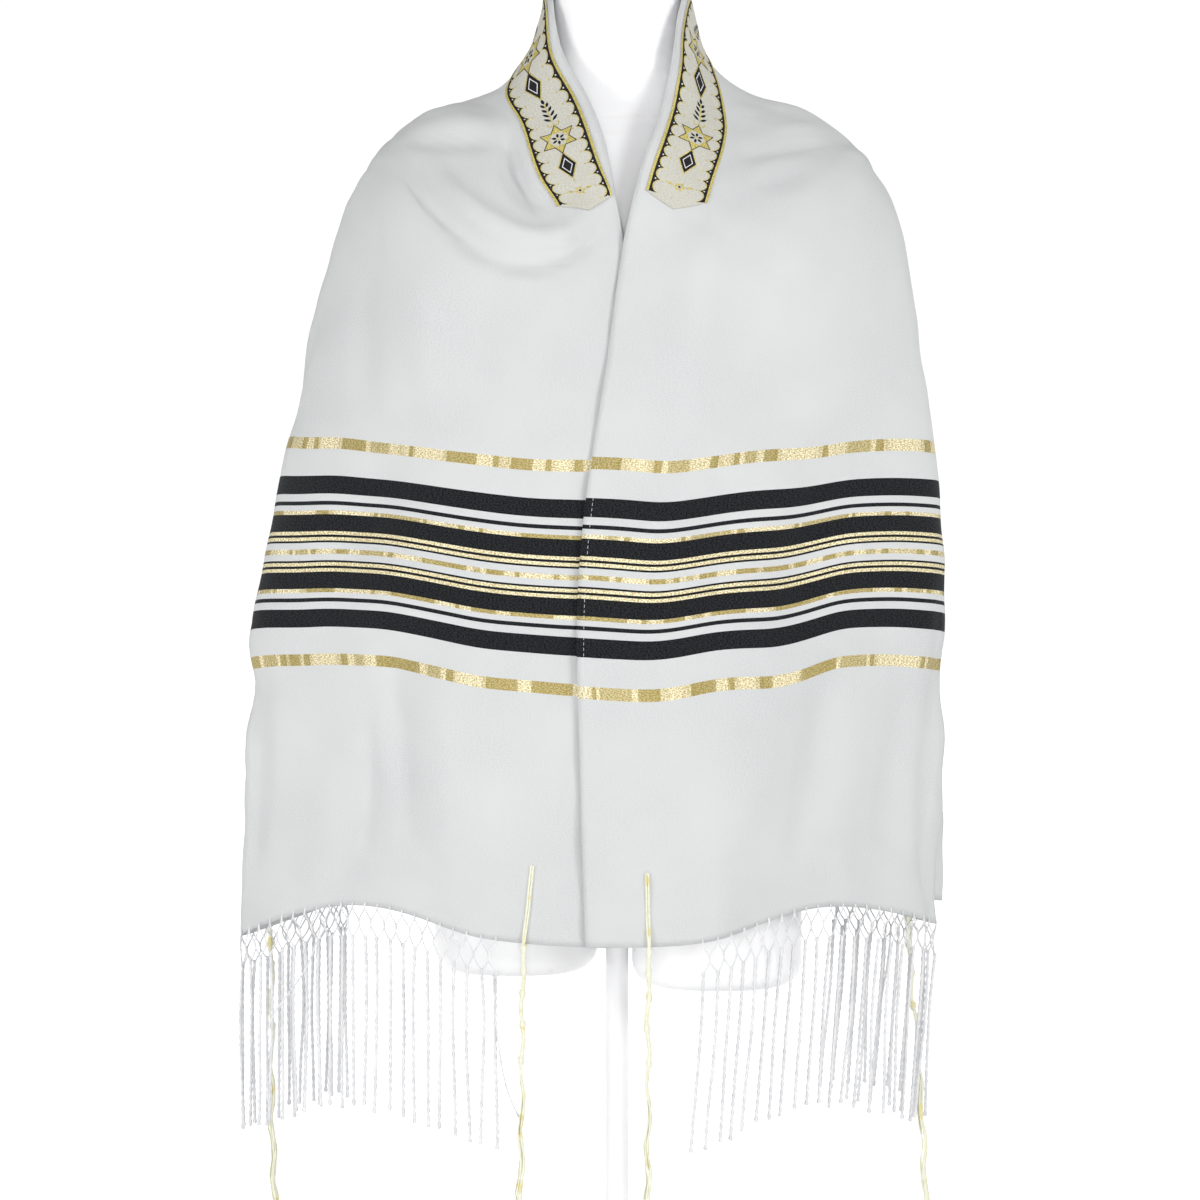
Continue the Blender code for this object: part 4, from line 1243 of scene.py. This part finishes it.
def yarn_finish(name, dark, light, dyed_from):
    """Soft spun yarn: two colours in patches, fine fibres as bump."""
    made, tree, shader = new_finish(name, Roughness=0.85, Sheen_Weight=0.25, Specular_IOR_Level=0.2)
    place = add(tree, "TexCoord").outputs["Object"]
    patches = add(tree, "TexNoise", {"Vector": place, "Scale": 70.0, "Detail": 3.0})
    fibres = add(tree, "TexNoise", {"Vector": place, "Scale": FUZZ_A_METRE, "Detail": 3.0})
    share = ramp(tree, patches.outputs[0], [(dyed_from, 0.0), (dyed_from + DYE_EDGE, 1.0)])
    tree.links.new(mixed(tree, share, light, dark), shader.inputs["Base Color"])
    raise_surface(tree, shader, fibres.outputs[0], FUZZ_DEPTH * MM, 0.6)
    return made


fringe_finish = yarn_finish("fringe_yarn", (0.69, 0.70, 0.72), (0.77, 0.77, 0.78), 0.45)
tassel_finish = yarn_finish("tassel_yarn", (0.76, 0.69, 0.35), (0.82, 0.82, 0.67), 0.56)
print("cord tools ready")

# %% [markdown]
# ## The knotted fringe
# Pairs of cords hang from holes along the hem. Each cord crosses its neighbour half a step to the side and
# comes back to a knot below its own hole, so the net is one row of diamonds deep. Below it the pairs are
# twisted together and hang free, each a little out of line with the next.

# %% The fringe
FRINGE_SPAN = {"left": (85.0, 520.0), "right": (98.0, 520.0)}
FRINGE_DROP = 172.0
HOLE_STEP = 12.4
HOLE_ABOVE_HEM = 3.5
CORD_LIFT = 1.2
EDGE_LIFT = 1.3
EDGE_SAG = 0.8
CROSSING_DROP = 13.0
KNOT_DROP = 27.0
NET_CORD = 0.7
CROSSING_KNOT = 1.1
END_KNOT = 1.7
STRAND = 1.35
STRAND_BULB = (1.0, 1.1, 1.25, 1.1)
HOLE_WANDER = 0.7
DROP_WANDER = 0.8
DEPTH_WANDER = 0.6
NET_WANDER = 0.3
STRAND_LENGTHS = 4.0
STRAND_WANDER = 0.35
STRAND_DEPTH = 0.8
LEAN = {"left": 0.0, "right": -0.07}
LEAN_WANDER = 0.012
SWAY = 1.6
draws = random.Random(18)


def near(amount):
    """A small difference from the even, either way, as a hand leaves it."""
    return draws.uniform(-amount, amount)


def over_cloth(along, across, lift):
    """Points over the cloth at its own places, raised off its middle by the lift."""
    place = blended(surface, ALONG, ACROSS, along, across)
    return place + blended(normals, ALONG, ACROSS, along, across) * np.asarray(lift)[..., None]


def cloth_spot(side, from_hem, across, lift):
    """A point over the cloth, a distance from one side's hem."""
    return over_cloth(from_left_hem(side, from_hem), across, lift)


def below_hem(side, across, drop):
    """A point straight below the hem."""
    return cloth_spot(side, 0.0, across, 0.0) - np.array([0.0, 0.0, drop])


def hand_placed(side, across, drop):
    """A knot's place below the hem, a little out of line."""
    return below_hem(side, across + near(HOLE_WANDER), drop + near(DROP_WANDER)) + [0, near(DEPTH_WANDER), 0]


def knot(middle, radius):
    """A small round knot."""
    rises = np.array([-1.0, -0.75, 0.0, 0.75, 1.0])
    path = np.asarray(middle) + rises[:, None] * np.array([0.0, 0.0, radius * 1.1])
    return ringed(path, radius * np.array([0.25, 0.75, 1.0, 0.75, 0.25]))


def make_fringe(side):
    """Every knot and cord of one side's fringe."""
    start, stop = FRINGE_SPAN[side]
    holes = round((stop - start) / HOLE_STEP)
    step = (stop - start) / holes
    places = start + step * np.arange(holes + 1)
    tops = [cloth_spot(side, HOLE_ABOVE_HEM, place, CORD_LIFT) for place in places]
    knots = [hand_placed(side, place, KNOT_DROP) for place in places]
    crossings = [hand_placed(side, place + step / 2, CROSSING_DROP) for place in (places[0] - step, *places)]
    cords = [knot(middle, CROSSING_KNOT) for middle in crossings[1:-1]]
    cords += [knot(middle, END_KNOT) for middle in knots]
    for k, top in enumerate(tops):
        edge = cloth_spot(side, 0.0, places[k], EDGE_LIFT) - [0.0, 0.0, EDGE_SAG]
        for crossing in crossings[max(k, 1) : k + 2]:
            path = np.array([top, edge, crossing, knots[k]])
            cords.append(ringed(run(path + [near(NET_WANDER), 0.0, 0.0], 3.0), NET_CORD, sides=5))
    for k in range(holes + 1):
        top = knots[k]
        drop = FRINGE_DROP - KNOT_DROP + near(STRAND_LENGTHS)
        lean = LEAN[side] + near(LEAN_WANDER)
        sway = near(SWAY)
        path = []
        for share in (0.0, 0.25, 0.5, 0.75, 1.0):
            out = sway * math.sin(share * math.pi * 1.5) + near(STRAND_WANDER)
            path.append(top + [lean * drop * share + out, near(STRAND_DEPTH) + out * 0.5, -drop * share])
        path = run(path, 2.0)
        radius = np.full(len(path), STRAND)
        radius[-4:] *= STRAND_BULB
        cords.append(ringed(path, radius, sides=8, lobes=2))
    return cords


fringe_cords = {side: make_fringe(side) for side in FRINGE_SPAN}
print({side: len(cords) for side, cords in fringe_cords.items()}, "cords and knots")

# %% [markdown]
# A few cords have gone their own way, as they do in wear: one at the inner end of the left fringe has
# slipped its knot and curls off, one crosses its neighbours from the middle of the left net, and one leans
# inwards near the outer end of the right fringe.

# %% Stray cords
STRAY_RADIUS = 0.8
Stray = namedtuple("Stray", "side across drop bends")
STRAYS = [
    Stray("left", 87.0, 29.0, [(2, -36), (6, -70), (13, -100), (25, -126)]),
    Stray("left", 255.0, 14.5, [(-15, -40), (-34, -66), (-44, -84), (-47, -112), (-46, -150)]),
    Stray("right", 500.0, 29.0, [(-3, -30), (-9, -70), (-12, -105), (-16, -138)]),
]
for stray in STRAYS:
    top = below_hem(stray.side, stray.across, stray.drop) + [0.0, -2.5, 0.0]
    path = run([top, *(top + [across, 0.0, fall] for across, fall in stray.bends)], 2.5)
    fringe_cords[stray.side].append(ringed(path, STRAY_RADIUS, lobes=2, pitch=8.0))
for side, cords in fringe_cords.items():
    made = joined_cords("fringe_" + side + "_yarn", cords, fringe_finish)
    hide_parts("fringe_" + side)

# %% [markdown]
# ## The corner tassels
# Four strings pass through a hole near each corner, so eight ends hang at the hem. They are knotted there,
# one string is wound round the rest seven, eight, eleven and thirteen times with a double knot between the
# groups, and the eight ends hang loose below, softly crimped, as plied wool is.

# %% Tassel measures
Tassel = namedtuple("Tassel", "name side hole_along hole_across hem_across foot sway")
TASSELS = [
    Tassel("tassel_left_inner", "left", 72, 55, 61, (-86, -128, 62), 1.5),
    Tassel("tassel_left_outer", "left", 70, 532, 538, (-300, 34, 66), -3.0),
    Tassel("tassel_right_inner", "right", 68, 54, 53, (20, -136, 60), 2.0),
    Tassel("tassel_right_outer", "right", 74, 520, 514, (276, 22, 64), 3.0),
]
STRING = 0.95
CLOTH_FACE = CLOTH_THICKNESS / 2
WINDINGS = (7, 8, 11, 13)
WINDING_PITCH = 2.05
WINDING_RIPPLE = 0.16
WOUND = 1.85
DOUBLE_KNOT = 2.9
KNOT_ROOM = 3.4
TWIST_PITCH = 6.0
TWIST_DEPTH = 0.12
LOOSE_STRING = 0.8
LOOSE_SPREAD = (0.9, 2.3)
LOOSE_LENGTHS = 7.0
CRIMP = 0.35
CRIMP_LENGTH = 3.4
SLOW_WAVE = (1.3, 52.0)
TASSEL_FROM_CLOTH = 3.0


def down_the_cloth(tassel, share, lift):
    """A point over the cloth, a share of the way from the tassel's hole to the hem."""
    across = tassel.hole_across + (tassel.hem_across - tassel.hole_across) * share
    return cloth_spot(tassel.side, tassel.hole_along * (1 - share), across, lift)


def tassel_path(tassel):
    """The middle of the tassel, from its hole down the cloth to the hem and on to its foot."""
    on_face = []
    for share in (0.0, 0.35, 0.7, 1.0):
        lift = CLOTH_FACE + STRING + (TASSEL_FROM_CLOTH - CLOTH_FACE - STRING) * max(0.0, share - 0.7) / 0.3
        on_face.append(down_the_cloth(tassel, share, lift))
    hem, foot = on_face[-1], np.array(tassel.foot, float)
    hanging = [hem + (foot - hem) * share for share in (0.03, 0.12, 0.5, 1.0)]
    hanging[2][0] += tassel.sway
    return on_face, hanging


print("tassels:", [tassel.name for tassel in TASSELS])

# %% Making a tassel
def waved(path, size, wave, phase):
    """The path with a slow sideways wave that starts and ends at nothing."""
    length = distances_along(path)
    calm = np.minimum(1.0, np.minimum(length, length[-1] - length) / wave)
    out = size * calm * np.sin(length / wave * 2 * math.pi + phase)
    return path + np.stack([out, out * 0.4, np.zeros_like(out)], axis=1)


def over_the_hem(tassel, on_face, meeting):
    """The four strings from the hole to where they meet below the hem: two in front, two behind."""
    hem_top = cloth_spot(tassel.side, 0.0, tassel.hem_across, 0.0)
    cords = []
    for apart in (-STRING, STRING):
        front = np.array(on_face) + [apart, 0.0, 0.0]
        front[-1, 0] -= apart * 0.6
        back = [down_the_cloth(tassel, share, -CLOTH_FACE - STRING) for share in (0.0, 0.5, 0.93)]
        back = np.array([*back, hem_top - [0, 0, 2.5], meeting]) + [apart, 0.0, 0.0]
        for path in ([*front, meeting], back):
            cords.append(ringed(run(path, 2.0), STRING, lobes=2, pitch=TWIST_PITCH, depth=TWIST_DEPTH))
    return cords


def windings_and_knots(below, length, knots):
    """The wound part, rippled by its turns, with a double knot at each place."""
    wound = length <= knots[-1]
    ripple = WINDING_RIPPLE * np.cos(length[wound] / WINDING_PITCH * 2 * math.pi)
    cords = [ringed(below[wound], WOUND * (1 + ripple) + 0.1, sides=10)]
    for place in knots:
        spot = below[int(np.argmin(np.abs(length - place)))]
        for rise in (-1.1, 1.1):
            cords.append(knot(spot + [0.0, 0.0, rise], DOUBLE_KNOT * (1 + near(0.06))))
    return cords


def loose_ends(middle):
    """Eight crimped ends that spread and swing about the tassel's middle, none quite as long as the next."""
    down = distances_along(middle)
    narrow, wide = LOOSE_SPREAD
    cords = []
    for k in range(8):
        angle = (k + near(0.3)) * math.pi / 4
        spread = narrow + (wide - narrow) * smoothstep(0, 120, down) + 0.35 * np.sin(down / 23 + k)
        swing = angle + 0.55 * np.sin(down / (34 + 2 * k) + k)
        reach = spread + CRIMP * np.sin(down / CRIMP_LENGTH + k * 1.7)
        offset = np.stack([reach * np.cos(swing), reach * np.sin(swing), 0 * down], axis=1)
        keep = down <= down[-1] - draws.uniform(0, LOOSE_LENGTHS) * (k > 1)
        cords.append(ringed((middle + offset)[keep], LOOSE_STRING, sides=5))
    return cords


def make_tassel(tassel):
    """All the cords of one tassel, and the path of its middle."""
    on_face, hanging = tassel_path(tassel)
    below = run([on_face[-1] - [0, 0, 4.0], *hanging[1:]], 0.5)
    below = waved(below, *SLOW_WAVE, draws.uniform(0, 6))
    length = distances_along(below)
    knots = [0.0]
    for turns in WINDINGS:
        knots.append(knots[-1] + turns * WINDING_PITCH + KNOT_ROOM)
    cords = over_the_hem(tassel, on_face, below[0])
    cords += windings_and_knots(below, length, knots)
    cords += loose_ends(below[length > knots[-1]][::5])
    path = np.vstack([np.array(on_face), below[::20], below[-1:]])
    return cords, path


for tassel in TASSELS:
    cords, path = make_tassel(tassel)
    made = joined_cords(tassel.name + "_strings", cords, tassel_finish)
    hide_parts(tassel.name)
    print(made.name, len(made.data.polygons), "faces,", round(distances_along(path)[-1]), "mm long")

# %% [markdown]
# ## Sewing
# The neck edge, the outer edge and both hems are turned under and stitched. The stitches are longer than
# the gaps between them and lie half sunk in the cloth. A worked eyelet rims each tassel hole.

# %% Stitches
STITCH = 3.0
STITCH_GAP = 1.5
STITCH_THICK = 0.2
HEM_WIDTH = 6.0
SHORT_HEM_WIDTH = 10.0
EYELET = 2.3
EYELET_THREAD = 0.45


def stitch_line(place_at, length):
    """Short tubes along a line; place_at gives the point at a distance along it."""
    cords = []
    starts = np.arange(STITCH_GAP, length - STITCH, STITCH + STITCH_GAP)
    ends = np.array([0.0, 0.2, 0.8, 1.0]) * STITCH
    sunk = np.array([-0.3, 0.12, 0.12, -0.3])
    spots = place_at((starts[:, None] + ends).ravel(), np.tile(sunk, len(starts))).reshape(-1, 4, 3)
    for path in spots:
        ahead = path[-1] - path[0]
        ahead /= np.linalg.norm(ahead)
        other = np.cross(ahead, (0.3, 0.5, 0.8))
        other /= np.linalg.norm(other)
        third = np.cross(ahead, other)
        around = np.array([other, third, -other, -third]) * STITCH_THICK
        cords.append(path[:, None] + around[None])
    return cords


sewing = []
for across in (HEM_WIDTH, CLOTH_WIDTH - HEM_WIDTH):
    sewing += stitch_line(lambda at, sunk: over_cloth(at, across, CLOTH_FACE + sunk), CLOTH_LENGTH)
for along in (SHORT_HEM_WIDTH, CLOTH_LENGTH - SHORT_HEM_WIDTH):
    sewing += stitch_line(lambda at, sunk: over_cloth(along, at, CLOTH_FACE + sunk), CLOTH_WIDTH)
for tassel in TASSELS:
    middle = from_left_hem(tassel.side, tassel.hole_along + 1.0)
    turn = np.linspace(0, 2 * math.pi, 15)
    rim_across = tassel.hole_across + EYELET * np.sin(turn)
    rim = over_cloth(middle + EYELET * np.cos(turn), rim_across, np.full_like(turn, CLOTH_FACE))
    for first, second in zip(rim, rim[1:]):
        path = np.array([first, (first + second) / 2, second]) + [0, 1e-3, 0]
        sewing.append(ringed(path, EYELET_THREAD, sides=5))
sewing_finish, tree, shader = new_finish("sewing_thread", Base_Color=(0.67, 0.68, 0.685, 1.0), Roughness=0.8)
stitches = joined_cords("shawl_stitches", sewing, sewing_finish)
print(len(sewing), "stitches")

# %% [markdown]
# ## The form's plastic and the stand's paint
# The form is glossy white plastic that throws one long highlight down the neck, with the faint unevenness
# of a blown moulding. The stand is satin white paint on steel, a little rougher, with a fine orange peel.

# %% Form and stand finishes
MOULDING_DEPTH = 0.6
PEEL_DEPTH = 0.1

form_finish, tree, shader = new_finish(
    "form_plastic", Base_Color=(0.99, 0.99, 1.0, 1.0), Roughness=0.3, Coat_Weight=0.2, Coat_Roughness=0.2)
place = add(tree, "TexCoord").outputs["Object"]
moulding = add(tree, "TexNoise", {"Vector": place, "Scale": 14.0, "Detail": 2.0})
raise_surface(tree, shader, moulding.outputs[0], MOULDING_DEPTH * MM, 0.25)
scuffs = add(tree, "TexNoise", {"Vector": place, "Scale": 60.0, "Detail": 6.0})
tree.links.new(ramp(tree, scuffs.outputs[0], [(0.3, 0.27), (0.7, 0.36)]), shader.inputs["Roughness"])
torso_form.data.materials.clear()
torso_form.data.materials.append(form_finish)

stand_finish, tree, shader = new_finish("stand_paint", Base_Color=(0.94, 0.94, 0.95, 1.0), Roughness=0.34)
place = add(tree, "TexCoord").outputs["Object"]
peel = add(tree, "TexNoise", {"Vector": place, "Scale": 900.0, "Detail": 2.0})
raise_surface(tree, shader, peel.outputs[0], PEEL_DEPTH * MM, 0.3)
wear = add(tree, "TexNoise", {"Vector": place, "Scale": 25.0, "Detail": 4.0})
tree.links.new(ramp(tree, wear.outputs[0], [(0.3, 0.28), (0.7, 0.42)]), shader.inputs["Roughness"])
for name in ("stand_base", "stand_pole"):
    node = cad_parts[name]
    node.data.materials.clear()
    node.data.materials.append(stand_finish)
print("form and stand finished")

# %% [markdown]
# ## Light and floor
# White cloth in front of white is lit like a shop's white cove: the backdrop and the floor behind the
# object glow, and what falls on the object comes from large soft lights in front. The strongest stands high
# on the right, so that the folds still read, a weaker one fills from the left, one faces the cloth, and a
# faint one hangs overhead. The floor is plain and pale.

# %% Floor and backdrop
FLOOR_RADIUS = 40.0
GLOW_STARTS = 0.2
GLOW_FULL = 0.8
FLOOR_GLOW = 0.8

floor_finish, tree, shader = new_finish(
    "floor_paper", Base_Color=(0.93, 0.93, 0.93, 1.0), Roughness=0.9, Emission_Color=(1.0, 1.0, 1.0, 1.0))
place = add(tree, "SeparateXYZ", {0: add(tree, "TexCoord").outputs["Object"]})
glow = add(tree, "MapRange", {
    "Value": place.outputs[1], "From Min": GLOW_STARTS, "From Max": GLOW_FULL, "To Max": FLOOR_GLOW})
tree.links.new(glow.outputs[0], shader.inputs["Emission Strength"])
floor_mesh = bpy.data.meshes.new("floor")
bm = bmesh.new()
bmesh.ops.create_circle(bm, cap_ends=True, segments=96, radius=FLOOR_RADIUS)
bm.to_mesh(floor_mesh)
bm.free()
floor_mesh.materials.append(floor_finish)
floor = bpy.data.objects.new("floor", floor_mesh)
scene.collection.objects.link(floor)

world = bpy.data.worlds.new("cove")
scene.world = world
world.use_nodes = True
tree = world.node_tree
backdrop = tree.nodes["Background"]
direction = add(tree, "SeparateXYZ", {0: add(tree, "TexCoord").outputs["Generated"]})
facing = math_node(tree, "MULTIPLY_ADD", direction.outputs[1], 0.5, 0.5)
cove = ramp(tree, facing, [(0.90, 0.46), (0.97, 1.04)])
tree.links.new(cove, backdrop.inputs["Color"])
print("floor and glowing backdrop ready")

# %% The lights
Light = namedtuple("Light", "name place aim size watts")
LIGHTS = [
    Light("key", (2.1, -2.2, 1.6), (0, 0, 0.4), (0.9, 0.9), 38),
    Light("front", (0.0, -3.3, 0.4), (0, 0, 0.45), (0.8, 0.8), 20),
    Light("fill", (-2.4, -1.8, 0.6), (0, 0, 0.3), (1.0, 1.2), 30),
    Light("top", (0.0, -0.4, 3.0), (0, 0, 0.0), (1.8, 1.8), 5),
]
for light in LIGHTS:
    lamp = bpy.data.lights.new(light.name, "AREA")
    lamp.shape = "RECTANGLE"
    lamp.size, lamp.size_y = light.size
    lamp.energy = light.watts
    made = bpy.data.objects.new(light.name, lamp)
    made.location = light.place
    made.rotation_euler = (Vector(light.aim) - Vector(light.place)).to_track_quat("-Z", "Y").to_euler()
    scene.collection.objects.link(made)
scene.view_settings.view_transform = "Standard"

# %% [markdown]
# ## The last step
# Cloth and string have a size that the draped shape doesn't show. The last step only brings the view
# layer up to date.

# %% Bring the view layer up to date
bpy.context.view_layer.update()
